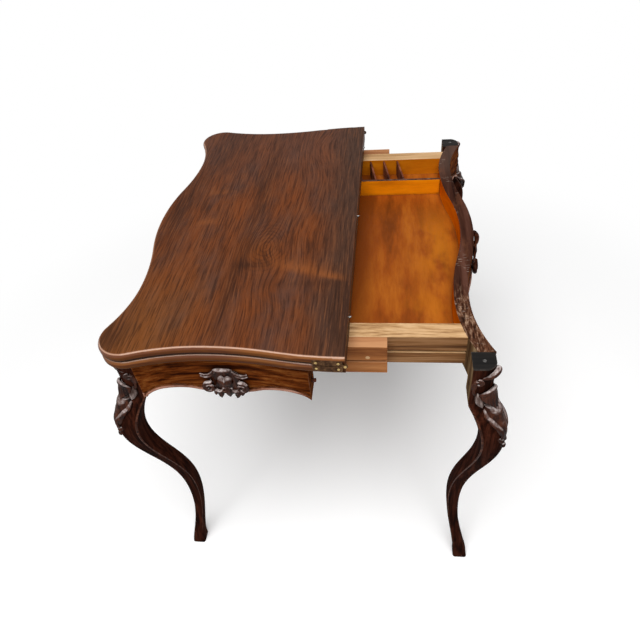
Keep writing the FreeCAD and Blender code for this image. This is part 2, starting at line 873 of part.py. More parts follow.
# Card-table hinges: a strap let into each leaf edge and an eye that turns on a rivet.
def strap(label, side):
    body = new_body(label + "_form")
    strap_low = pivot_z + strap_off if side > 0 else pivot_z - strap_off - strap_tall
    bar_right = -cell("eye_round") - cell("turn_gap") * 2
    bar = strap_plan(-half_long, bar_right)
    bar[0] = (bar_right, front_bow_y(bar_right, zero), (short_bow, -1))
    bar[1] = (-strap_long, front_bow_y(-strap_long, zero), None)
    pad(body, "XY_Plane", strap_low, [bar], strap_tall)
    eye = cell("eye_round")
    arm = -cell("eye_arm")
    notch = -root(eye * eye - strap_off * strap_off)
    front = half_long if side > 0 else half_long - strap_thick + cell("eye_thick")
    low = pivot_z + strap_off * side
    sketch = sketch_on(body, "XZ_Plane", front)
    draw(sketch, [
        (arm, low, None),
        (notch, low, (eye, side)),
        (zero, pivot_z - eye * side, (eye, side)),
        (eye, pivot_z, (eye, side)),
        (zero, pivot_z + eye * side, None),
        (arm, pivot_z + eye * side, None),
    ])
    hole = cell("rivet_round") + (cell("turn_gap") if side > 0 else zero)
    draw_circle(sketch, zero, pivot_z, hole)
    feature_from(body, "Pad", sketch, cell("eye_thick"), reverse=True)
    spots = [(x, strap_low + strap_tall / 2) for x in screw_x]
    drill(body, "XZ_Plane", half_long + overrun, spots, cell("small_screw_round"), overrun * 4)
    place(body, hinge_x)
    return named(body, label)


for side, part_name in ((-1, "lower"), (1, "upper")):
    front_strap = strap(f"front_{part_name}_strap", side)
    mirror(front_strap, f"back_{part_name}_strap", across_y)
    height = pivot_z + (strap_off + strap_tall / 2) * side
    screws = []
    for x in screw_x:
        fixing = screw(f"{part_name}_strap_screw_form", "small_screw", "small_head")
        seat_y = front_bow_y(x + cell("small_head_round"), zero)
        place(fixing, hinge_x + x, seat_y, height, Rotation(Vector(1, 0, 0), 90))
        screws.append(fixing)
    front_screws = pair(screws, f"front_{part_name}_strap_screws")
    mirror(front_screws, f"back_{part_name}_strap_screws", across_y)

rivet = new_body("front_hinge_rivet_form")
under_head = half_long + seam / 2
shank = strap_thick + seam / 2
post(rivet, "XZ_Plane", under_head, zero, pivot_z, cell("rivet_round"), shank, reverse=True)
post(rivet, "XZ_Plane", under_head, zero, pivot_z, cell("rivet_head_round"), cell("rivet_head_tall"))
place(rivet, hinge_x)
named(rivet, "front_hinge_rivet")
mirror(rivet, "back_hinge_rivet", across_y)

screws = []
for x, y in fixing_spots:
    fixing = screw("fixing_screw_form", "fixing_screw", "fixing_head")
    place(fixing, hinge_x + x, y, fixing_head_z, Rotation(Vector(1, 0, 0), 180))
    screws.append(fixing)
front_fixings = pair(screws, "front_fixing_screws")
mirror(front_fixings, "back_fixing_screws", across_y)

# Glue blocks between the left apron and the underside of the top.
blocks = []
for row in (-1, 1):
    glue = doc.addObject("Part::Box", "glue_block_form")
    bind(glue, "Length", cell("block_deep") + cell("block_fit"))
    bind(glue, "Width", cell("block_long"))
    bind(glue, "Height", cell("block_tall"))
    left = hinge_x + inset + apron_thick - depth
    place(glue, left, cell("block_apart") * row - cell("block_long") / 2, frame_top - cell("block_tall"))
    label = "front_glue_block" if row < 0 else "back_glue_block"
    named(cut(glue, left_apron, label + "_form"), label)

# Lopers, with a groove for the guide key outside and a tongue for the rail's groove inside.
loper_out = short_inner + cell("slide_gap")
loper_in = loper_out + cell("loper_width")
rail_out = loper_in + cell("slide_gap")
rail_in = rail_out + cell("rail_width")
frame_out = -(inset - depth + hinge_x)
groove_tall = cell("groove_tall")
groove_deep = cell("groove_deep")
rail_left = frame_out - cell("rail_reach")
apron_inner = inset + apron_thick
travel = cell("pull_rest") + close_overhang
loper_closed = -(left_hollow_x(-loper_in, apron_inner) + depth + close_overhang) - cell("loper_end_gap")
loper_right = hinge_x + loper_closed + travel / 2
loper_left = loper_right - cell("loper_long")

loper = new_body("front_loper_form")
loper_plan = box_outline(loper_left, loper_out, loper_right, loper_in)
pad(loper, "XY_Plane", slide_low, [loper_plan], cell("slide_tall"))
groove_left = loper_left + cell("groove_stop")
groove = box_outline(groove_left, loper_out - overrun, loper_right + overrun, loper_out + groove_deep)
pocket(loper, "XY_Plane", groove_z + groove_tall / 2, [groove], groove_tall)
tongue_left = loper_right - cell("tongue_long")
tongue_right = loper_right - cell("tongue_back")
tongue = box_outline(tongue_left, loper_in - overrun, tongue_right, rail_out + cell("tongue_deep"))
pad(loper, "XY_Plane", key_low, [tongue], cell("tongue_tall"))
dowel_x = loper_right - cell("dowel_from_end")
dowel_z = pull_top - cell("dowel_drop")
dowel_deep = cell("loper_width") / 2
drill(loper, "XZ_Plane", -loper_out, [(dowel_x, dowel_z)], cell("dowel_round"), dowel_deep)
place(loper)
named(loper, "front_loper")
mirror(loper, "back_loper", across_y)

dowel = new_body("front_loper_dowel_form")
post(dowel, "XZ_Plane", -loper_out, dowel_x, dowel_z, cell("dowel_round"), dowel_deep, reverse=True)
place(dowel)
named(dowel, "front_loper_dowel")
mirror(dowel, "back_loper_dowel", across_y)


# Pull-out rails and the well between them.
def apron_inner_x(y):
    return -(left_hollow_x(y, apron_inner) + hinge_x)


rail = new_body("front_rail_form")
rail_plan = [
    (rail_left, rail_out, None),
    (apron_inner_x(-rail_out), rail_out, (long_hollow + apron_inner, -1)),
    (apron_inner_x(-rail_in), rail_in, None),
    (rail_left, rail_in, None),
]
pad(rail, "XY_Plane", slide_low, [rail_plan], cell("slide_tall"))
groove = box_outline(rail_left + cell("groove_stop"), rail_out - overrun, frame_out, rail_out + groove_deep)
pocket(rail, "XY_Plane", groove_z + groove_tall / 2, [groove], groove_tall)
floor_top = pull_top - cell("floor_drop")
floor_thick = cell("floor_thick")
housing = cell("floor_housing")
floor_slot = box_outline(rail_left - overrun, rail_in - housing, frame_out, rail_in + overrun)
pocket(rail, "XY_Plane", floor_top, [floor_slot], floor_thick)
place(rail)
named(rail, "front_rail")
mirror(rail, "back_rail", across_y)

wall_thick = cell("end_wall_thick")
wall_in = rail_left + wall_thick
wall = new_body("well_end_wall_form")
pad(wall, "XY_Plane", slide_low, [box_outline(rail_left, rail_in, wall_in, -rail_in)], cell("slide_tall"))
wall_slot = box_outline(wall_in - housing, rail_in - overrun, wall_in + overrun, -rail_in + overrun)
pocket(wall, "XY_Plane", floor_top, [wall_slot], floor_thick)
place(wall)
named(wall, "well_end_wall")

floor = new_body("well_floor_form")
edge_y = rail_in - housing
(waist_x, waist_y), (swing_x, swing_y) = left_waist_points(apron_inner)
hollow = (long_hollow + apron_inner, -1)
waist = (long_bow + apron_inner, -1)
bow = (long_bow - apron_inner, 1)
floor_plan = [
    (wall_in - housing, edge_y, None),
    (apron_inner_x(-edge_y), edge_y, hollow),
    (-(waist_x + hinge_x), waist_y, waist),
    (-(swing_x + hinge_x), swing_y, bow),
    (-(swing_x + hinge_x), -swing_y, waist),
    (-(waist_x + hinge_x), -waist_y, hollow),
    (apron_inner_x(-edge_y), -edge_y, None),
    (wall_in - housing, -edge_y, None),
]
pad(floor, "XY_Plane", floor_top - floor_thick, [floor_plan], floor_thick)
place(floor)
named(floor, "well_floor")

partition_at = cell("partition_at")
partition_far = partition_at + cell("partition_thick")
partition_right = -(waist_x + hinge_x)
partition = new_body("well_partition_form")
partition_tall = cell("floor_drop") - cell("partition_drop")
partition_plan = box_outline(wall_in, partition_at, partition_right, partition_far)
pad(partition, "XY_Plane", floor_top, [partition_plan], partition_tall)
place(partition)
named(partition, "well_partition")

divider_tall = cell("floor_drop") - cell("divider_drop")
for place_in_row, label in enumerate(("first", "second", "third", "fourth")):
    divider = new_body(label + "_divider_form")
    near_x = hinge_x + cell("divider_first") + cell("divider_pitch") * place_in_row
    far_x = near_x + cell("divider_slant")
    thick = cell("divider_thick")
    slanted = [
        (far_x, partition_far, None),
        (far_x + thick, partition_far, None),
        (near_x + thick, -rail_in, None),
        (near_x, -rail_in, None),
    ]
    pad(divider, "XY_Plane", floor_top, [slanted], divider_tall)
    place(divider)
    named(divider, label + "_counter_divider")


# Carving in its main form: cartouches on the aprons and leaves on the knees.
def cartouche_outline(middle, height, share):
    wide = cell("cartouche_half") * share
    up = cell("cartouche_up") * share
    down = cell("cartouche_down") * share
    half = [
        (zero, up, -0.25),
        (wide * 0.52, up * 0.82, 0.3),
        (wide * 0.92, up * 0.82, -0.8),
        (wide, up * 0.5, -0.3),
        (wide * 0.72, up * 0.25, 0.2),
        (wide * 0.82, -down * 0.12, -0.5),
        (wide * 0.56, -down * 0.55, -0.4),
        (wide * 0.34, -down * 0.62, 0.2),
        (wide * 0.24, -down * 0.85, -0.3),
    ]
    right = [(middle + x, height + y, bulge) for x, y, bulge in half]
    tip = [(middle, height - down, half[-1][2])]
    left = [(middle - half[k][0], height + half[k][1], half[k - 1][2]) for k in range(len(half) - 1, 0, -1)]
    return bowed(right + tip + left)


def cartouche(name, role, middle, base, apron, outward, top):
    """A carved plaque that stands on an apron. base is the apron's face along the plane's axis."""
    body = new_body(name + "_plaque")
    height = top - cell("cartouche_drop")
    sunk = cell("carve_sunk")
    for tier, share in enumerate((1, 0.8), 1):
        outline = cartouche_outline(middle, height, share)
        thick = sunk + cell("carve_tier") * tier
        pad(body, role, base - sunk * outward, [outline], thick, reverse=outward < 0)
    place(body, hinge_x)
    boss = doc.addObject("Part::Ellipsoid", name + "_boss")
    bind(boss, "Radius1", cell("boss_tall"))
    bind(boss, "Radius2", cell("boss_proud") if role == "YZ_Plane" else cell("boss_half"))
    bind(boss, "Radius3", cell("boss_half") if role == "YZ_Plane" else cell("boss_proud"))
    if role == "YZ_Plane":
        place(boss, hinge_x + base, middle, height)
    else:
        place(boss, hinge_x + middle, -base, height)
    whole = fuse([body, boss], name + "_whole")
    return cut(whole, apron, name + "_form")


long_face = inset - depth
left_cartouche = cartouche("left_cartouche", "YZ_Plane", zero, long_face, left_apron, -1, frame_top)
named(left_cartouche, "left_cartouche")
right_carving = cartouche("right_cartouche", "YZ_Plane", zero, long_face, right_form, -1, pull_top)
mirror(right_carving, "right_cartouche", across_x)
front_face = half_long - inset - short_in
front_cartouche = cartouche("front_cartouche", "XZ_Plane", short_mid, front_face, front_apron, 1, frame_top)
named(front_cartouche, "front_cartouche")
mirror(front_cartouche, "back_cartouche", across_y)

knee_shell = new_body("knee_shell")
shell_top = leg_section(knee_shell, "block", cell("carve_thick"))
shell_tall = cell("apron_end_depth") - cell("apron_arch_depth") / 2 + overrun
feature_from(knee_shell, "Pad", shell_top, shell_tall)
loft(knee_shell, leg_stations[:5], cell("carve_thick"))
place(knee_shell, hinge_x + block_x, block_y)
knee_leaf_form = new_body("knee_leaf_outline")
leaf_top = frame_top - cell("apron_arch_depth") / 2
leaf_tip = station_level("calf") + cell("ridge_round") * 2
wide = block * 0.6
middle_z = station_level("knee") + block
leaf_plan = bowed([
    (zero, leaf_tip, 0.2),
    (wide, middle_z, 0.15),
    (wide * 0.75, leaf_top, 0),
    (-wide * 0.75, leaf_top, 0.15),
    (-wide, middle_z, 0.2),
])
pad(knee_leaf_form, "XZ_Plane", zero, [leaf_plan], block * 2)
place(knee_leaf_form, hinge_x + block_x, block_y, zero, Rotation(Vector(0, 0, 1), -45))
leaf_shell = doc.addObject("Part::MultiCommon", "knee_leaf_shell")
leaf_shell.Shapes = [knee_shell, knee_leaf_form]
knee_core = plain_leg("knee_core", frame_top)
left_front_knee = named(cut(leaf_shell, knee_core, "knee_leaf_form"), "left_front_knee_leaf")
mirror(left_front_knee, "left_back_knee_leaf", across_y)
right_front_knee = mirror(left_front_knee, "right_front_knee_leaf", across_x)
mirror(right_front_knee, "right_back_knee_leaf", across_y)

doc.recompute()
faults = [thing.Name for thing in doc.Objects if "Invalid" in thing.State or "Error" in thing.State]
os.makedirs("parts", exist_ok=True)
for part in subparts:
    if part.Shape.isNull() or not part.Shape.isValid():
        faults.append(part.Label)
    part.Shape.exportStep(f"parts/{part.Label}.step")
    print(part.Label, len(part.Shape.Solids), round(part.Shape.Volume / 1000, 2))
if faults:
    raise RuntimeError(f"not built: {faults}")
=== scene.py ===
import json
import math
import bmesh
import bpy
from mathutils import Matrix, Vector
from mathutils.bvhtree import BVHTree

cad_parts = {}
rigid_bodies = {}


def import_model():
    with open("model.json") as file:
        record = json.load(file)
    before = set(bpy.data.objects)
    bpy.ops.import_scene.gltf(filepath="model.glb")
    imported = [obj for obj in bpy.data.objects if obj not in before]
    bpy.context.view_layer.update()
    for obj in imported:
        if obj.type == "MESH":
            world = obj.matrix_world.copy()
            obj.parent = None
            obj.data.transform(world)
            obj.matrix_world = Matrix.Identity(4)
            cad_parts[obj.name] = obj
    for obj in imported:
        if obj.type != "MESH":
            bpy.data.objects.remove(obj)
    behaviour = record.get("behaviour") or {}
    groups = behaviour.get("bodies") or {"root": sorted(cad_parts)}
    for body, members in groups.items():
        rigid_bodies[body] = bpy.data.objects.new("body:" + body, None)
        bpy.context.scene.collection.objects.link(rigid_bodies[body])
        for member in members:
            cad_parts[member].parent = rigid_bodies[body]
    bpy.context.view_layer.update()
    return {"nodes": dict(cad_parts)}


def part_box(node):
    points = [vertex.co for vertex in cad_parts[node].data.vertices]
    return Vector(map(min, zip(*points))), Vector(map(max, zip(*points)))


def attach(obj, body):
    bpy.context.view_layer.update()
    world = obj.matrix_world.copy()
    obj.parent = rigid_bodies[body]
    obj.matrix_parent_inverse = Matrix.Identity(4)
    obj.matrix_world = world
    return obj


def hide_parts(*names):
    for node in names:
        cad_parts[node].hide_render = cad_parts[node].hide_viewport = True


for leftover in list(bpy.data.objects):
    bpy.data.objects.remove(leftover)
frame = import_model()
scene = bpy.context.scene
cadNodes = frame["nodes"]
millimetre = 0.001
rayStart = 0.2  # metres outside a surface that is looked for
ways = {"front": (0, -1, 0), "back": (0, 1, 0), "left": (-1, 0, 0), "right": (1, 0, 0), "up": (0, 0, 1)}
print("stage: frame loaded,", len(cadNodes), "nodes")


# camera at the photograph's viewing angle
cameraSetup = {
    "position": (0.1712, -1.0722, 1.4491),
    "yaw": -10.17,  # degrees, turned from +Y
    "pitch": 43.36,  # degrees below the horizon
    "roll": -6.78,
    "focalPixels": 549.9,
    "imageWidth": 640,
    "sensor": 36.0,
}


def makeCamera(setup):
    yaw, pitch, roll = (math.radians(setup[key]) for key in ("yaw", "pitch", "roll"))
    forward = Vector((math.sin(yaw) * math.cos(pitch), math.cos(yaw) * math.cos(pitch), -math.sin(pitch)))
    level = Vector((math.cos(yaw), -math.sin(yaw), 0))
    upright = level.cross(forward)
    right = level * math.cos(roll) + upright * math.sin(roll)
    up = upright * math.cos(roll) - level * math.sin(roll)
    data = bpy.data.cameras.new("camera")
    data.sensor_width = setup["sensor"]
    data.lens = setup["focalPixels"] / setup["imageWidth"] * setup["sensor"]
    camera = bpy.data.objects.new("camera", data)
    turn = Matrix((right, up, -forward)).transposed().to_4x4()
    camera.matrix_world = Matrix.Translation(setup["position"]) @ turn
    scene.collection.objects.link(camera)
    scene.camera = camera


makeCamera(cameraSetup)
scene.view_settings.view_transform = "Standard"
print("stage: camera")


# node helpers: an argument is either a plain value or the output that feeds the socket, which knows its tree
def treeOf(values):
    return next(value.id_data for value in values if isinstance(value, bpy.types.NodeSocket))


def feed(socket, value):
    if isinstance(value, bpy.types.NodeSocket):
        socket.id_data.links.new(value, socket)
    elif socket.type == "RGBA" and len(value) == 3:
        socket.default_value = (*value, 1)
    else:
        socket.default_value = value


def setInputs(node, **sockets):
    for key, value in sockets.items():
        feed(node.inputs[key.replace("_", " ")], value)


def fillInputs(node, *values):
    # in the order in which the node lists its sockets
    for socket, value in zip(node.inputs, values):
        feed(socket, value)
    return node.outputs


def addNode(tree, kind, settings=None, **sockets):
    node = tree.nodes.new(kind)
    for key, value in (settings or {}).items():
        setattr(node, key, value)
    setInputs(node, **sockets)
    return node


def calc(operation, *values, clamp=False):
    node = addNode(treeOf(values), "ShaderNodeMath", {"operation": operation, "use_clamp": clamp})
    return fillInputs(node, *values)[0]


def times(product, *factors):
    for factor in factors:
        product = calc("MULTIPLY", product, factor)
    return product


def vectorCalc(operation, *values):
    outputs = fillInputs(addNode(treeOf(values), "ShaderNodeVectorMath", {"operation": operation}), *values)
    return outputs["Value" if operation in ("LENGTH", "DOT_PRODUCT") else "Vector"]


def spread(value, low, high, toLow=0.0, toHigh=1.0):
    node = addNode(value.id_data, "ShaderNodeMapRange", {"interpolation_type": "SMOOTHSTEP"})
    return fillInputs(node, value, low, high, toLow, toHigh)[0]


def mixNode(kind, places, *values):
    # places are the sockets that this kind of mix uses: share, first, second and the output
    node = addNode(treeOf(values), "ShaderNodeMix", {"data_type": kind})
    for index, value in zip(places, values):
        feed(node.inputs[index], value)
    return node.outputs[places[3]]


def blendColor(share, first, second):
    return mixNode("RGBA", (0, 6, 7, 2), share, first, second)


def blendNumber(share, first, second):
    return mixNode("FLOAT", (0, 2, 3, 0), share, first, second)


def layered(color, *layers):
    # each layer is a share and the colour that it lays over what is there
    for share, over in layers:
        color = blendColor(share, color, over)
    return color


def partsOf(vector):
    return addNode(vector.id_data, "ShaderNodeSeparateXYZ", Vector=vector).outputs


def joined(x, y, z):
    return addNode(treeOf((x, y, z)), "ShaderNodeCombineXYZ", X=x, Y=y, Z=z).outputs[0]


def stretched(vector, scale=(1, 1, 1), turn=(0, 0, 0)):
    return addNode(vector.id_data, "ShaderNodeMapping", Vector=vector, Scale=scale, Rotation=turn).outputs[0]


def noiseAt(vector, scale, detail=3.0, roughness=0.5):
    sockets = {"Vector": vector, "Scale": scale, "Detail": detail, "Roughness": roughness}
    return addNode(vector.id_data, "ShaderNodeTexNoise", **sockets).outputs[0]


def ramp(share, *stops):
    node = addNode(share.id_data, "ShaderNodeValToRGB", Fac=share)
    elements = node.color_ramp.elements
    while len(elements) < len(stops):
        elements.new(0.5)
    for element, (position, color) in zip(elements, stops):
        element.position = position
        element.color = (*color, 1)
    return node.outputs[0]


def startGroup(name, inputs, outputs):
    # an input without a default is a vector, and every other socket is a number
    tree = bpy.data.node_groups.new(name, "ShaderNodeTree")
    for label, value in inputs.items():
        kind = "NodeSocketVector" if value is None else "NodeSocketFloat"
        socket = tree.interface.new_socket(label, in_out="INPUT", socket_type=kind)
        if value is not None:
            socket.default_value = value
    for label in outputs:
        tree.interface.new_socket(label, in_out="OUTPUT", socket_type="NodeSocketFloat")
    return tree, tree.nodes.new("NodeGroupInput").outputs, tree.nodes.new("NodeGroupOutput")


def useGroup(tree, group, **sockets):
    return addNode(tree, "ShaderNodeGroup", {"node_tree": group}, **sockets).outputs


# grain shared by every wood: X of the vector runs across the fibres and Y along them
grainShape = {"sway": (6, 2.2, 6), "pores": (950, 32, 950), "streakFineness": 4.2, "fibreFineness": 13.0}


def makeGrainGroup(shape):
    tree, inside, out = startGroup(
        "wood grain", {"Vector": None, "Band Scale": 40.0, "Stretch": 0.04, "Wander": 0.01, "Seed": 0.0},
        ["Bands", "Streaks", "Fibres", "Pores"])
    seed, scale = inside["Seed"], inside["Band Scale"]
    shifted = vectorCalc("ADD", inside["Vector"], joined(seed, seed, seed))
    sway = noiseAt(stretched(shifted, shape["sway"]), 1.0, 2.0)
    swing = times(calc("SUBTRACT", sway, 0.5), inside["Wander"])
    warped = vectorCalc("ADD", shifted, joined(swing, 0.0, swing))
    along = vectorCalc("MULTIPLY", warped, joined(1.0, inside["Stretch"], 1.0))
    fine = noiseAt(along, times(scale, shape["streakFineness"]), 4.0, 0.6)
    dashes = noiseAt(stretched(warped, shape["pores"]), 1.0, 1.0)
    setInputs(out, Bands=noiseAt(along, scale, 5.0, 0.62), Streaks=spread(fine, 0.5, 0.72),
              Fibres=noiseAt(along, times(scale, shape["fibreFineness"]), 3.0, 0.6),
              Pores=spread(dashes, 0.6, 0.75))
    return tree


# worn arrises, and a mask of the hollows that the woods darken as painted shade and the metals as tarnish
def makeEdgeGroup():
    tree, inside, out = startGroup(
        "edges and hollows", {"Edge Width": 0.002, "Hollow Depth": 0.012, "Patchiness": 60.0}, ["Worn", "Hollow"])
    bevel = addNode(tree, "ShaderNodeBevel", {"samples": 4}, Radius=inside["Edge Width"])
    normal = addNode(tree, "ShaderNodeNewGeometry").outputs["Normal"]
    edge = spread(vectorCalc("DOT_PRODUCT", bevel.outputs[0], normal), 0.995, 0.9)
    place = addNode(tree, "ShaderNodeTexCoord").outputs["Object"]
    patches = spread(noiseAt(place, inside["Patchiness"], 4.0, 0.65), 0.38, 0.62)
    # ambient occlusion finds the hollows, where shade would fall
    shelter = addNode(tree, "ShaderNodeAmbientOcclusion", {"samples": 6}, Distance=inside["Hollow Depth"])
    setInputs(out, Worn=times(edge, patches), Hollow=spread(shelter.outputs["AO"], 0.85, 0.3))
    return tree


# short bright nicks and long faint rubs
scratchShape = {"nicks": (60, 420, 60), "nickTurn": (0, 0, 0.35), "patches": 22.0, "rubs": (30, 9, 30)}


def makeScratchGroup(shape):
    tree, inside, out = startGroup("scratches", {"Vector": None}, ["Nicks", "Rubs"])
    place = inside["Vector"]
    dashes = noiseAt(stretched(place, shape["nicks"], shape["nickTurn"]), 1.0, 2.0, 0.6)
    patches = noiseAt(place, shape["patches"], 2.0)
    setInputs(out, Nicks=times(spread(dashes, 0.62, 0.7), spread(patches, 0.45, 0.6)),
              Rubs=noiseAt(stretched(place, shape["rubs"]), 1.0, 5.0, 0.7))
    return tree


grainGroup = makeGrainGroup(grainShape)
edgeGroup = makeEdgeGroup()
scratchGroup = makeScratchGroup(scratchShape)


def startMaterial(name):
    material = bpy.data.materials.new(name)
    material.use_nodes = True
    tree = material.node_tree
    return material, tree, tree.nodes["Principled BSDF"], addNode(tree, "ShaderNodeTexCoord").outputs


def addBump(shader, height, strength, distance=0.0006):
    bump = addNode(shader.id_data, "ShaderNodeBump", Strength=strength, Distance=distance, Height=height)
    setInputs(shader, Normal=bump.outputs[0])


topVeneer = {
    "dark": (0.030, 0.011, 0.006),
    "middle": (0.128, 0.039, 0.015),
    "light": (0.205, 0.074, 0.030),
    "grey": (0.092, 0.038, 0.024),
    "red": (0.160, 0.042, 0.011),
    "streak": (0.020, 0.009, 0.006),
    # painted reflection: the top turns greyer towards the back and darker grey near the hinge edge
    "backTint": (0.105, 0.043, 0.027),
    "hingeTint": (0.058, 0.032, 0.022),
    "golden": (0.200, 0.075, 0.016),
    "edge": (0.220, 0.074, 0.015),
    # pale colour of the painted highlight along the edge's upper rounding
    "wearAndHighlight": (0.64, 0.390, 0.270),
    # colour of the painted shade at the joint between the leaves
    "jointShade": (0.008, 0.004, 0.003),
    "jointHeight": 0.740,
    "lines": {"Band_Scale": 310.0, "Stretch": 0.042, "Wander": 0.014, "Seed": 5.0},
    "bands": {"Band_Scale": 95.0, "Stretch": 0.04, "Wander": 0.02},
    "edgeGrain": {"Band_Scale": 150.0, "Stretch": 0.05, "Wander": 0.01, "Seed": 7.0},
    "clouds": (13, 5, 1),
    # each figure bends the grain round a spot: middle, reach across and along the grain, pull
    "figures": [
        ((-0.108, -0.132), (0.038, 0.080), 0.031),
        ((-0.075, -0.262), (0.050, 0.050), 0.014),
        ((-0.030, 0.320), (0.040, 0.110), 0.026),
        ((-0.030, -0.080), (0.040, 0.100), 0.012),
    ],
    # each painted sheen, a greyer reflection laid into the colour: axis, the two places between which it comes in,
    # strength, colour
    "paintedSheens": [("Y", 0.0, 0.42, 0.65, "backTint"), ("X", -0.02, 0.08, 0.80, "hingeTint")],
    "knot": {"middle": (-0.113, -0.149), "squeeze": 0.75, "reach": 0.070, "strength": 0.8,
             "color": (0.165, 0.045, 0.010)},
    "rings": {"middle": (-0.098, -0.128), "squeeze": 0.62, "spacing": 0.0084, "reach": (0.085, 0.025), "sway": 13.0,
              "swayScale": (34, 18, 1), "strength": 0.30},
    # each flare: middle, half length across the grain, half width along it, tilt, strength
    "flares": [
        ((-0.012, -0.208), 0.110, 0.016, -0.30, 0.55),
        ((0.052, -0.230), 0.045, 0.008, -0.30, 0.50),
        ((-0.246, 0.100), 0.048, 0.008, 0.15, 0.30),
        ((-0.250, -0.030), 0.046, 0.012, 0.10, 0.32),
    ],
    "flareColor": (0.290, 0.086, 0.021),
    # each shade: middle, reach, strength
    "shades": [
        ((-0.140, 0.130), (0.020, 0.260), 0.50),
        ((-0.148, -0.280), (0.012, 0.120), 0.60),
        ((0.080, -0.320), (0.030, 0.150), 0.55),
        ((-0.345, -0.395), (0.030, 0.060), 0.70),
        ((-0.122, -0.190), (0.030, 0.014), 0.75),
        ((0.010, -0.250), (0.090, 0.012), 0.35),
        ((-0.335, 0.040), (0.036, 0.200), 0.55),
        ((-0.270, 0.330), (0.060, 0.140), 0.35),
    ],
    # each grain shade: the grain, the two values between which it comes in, strength, colour
    "grainShades": [
        ("bands", 0.53, 0.70, 0.42, "dark"),
        ("bands", 0.47, 0.32, 0.26, "light"),
        ("lines", 0.48, 0.64, 0.58, "streak"),
        ("lines", 0.46, 0.34, 0.40, "light"),
    ],
    "roughness": (0.38, 0.55),
}


def figurePull(spot, middle, reach, pull):
    local = vectorCalc("SUBTRACT", spot, (*middle, 0))
    scaled = vectorCalc("MULTIPLY", local, (1 / reach[0], 1 / reach[1], 0))
    fall = vectorCalc("DOT_PRODUCT", scaled, scaled)
    return times(calc("POWER", math.e, times(fall, -1.0)), pull)


def flareMask(spot, middle, reach, width, tilt, strength):
    local = stretched(vectorCalc("SUBTRACT", spot, (*middle, 0)), turn=(0, 0, -tilt))
    part = partsOf(local)
    ends = spread(calc("ABSOLUTE", part["X"]), reach, 0.0)
    above = spread(part["Y"], width * 3.0, 0.0)
    below = spread(part["Y"], -width * 1.3, width * 0.3)
    return times(above, below, ends, strength)


def awayFrom(spot, values):
    local = vectorCalc("SUBTRACT", spot, (*values["middle"], 0))
    return vectorCalc("LENGTH", vectorCalc("MULTIPLY", local, (1, values["squeeze"], 0)))


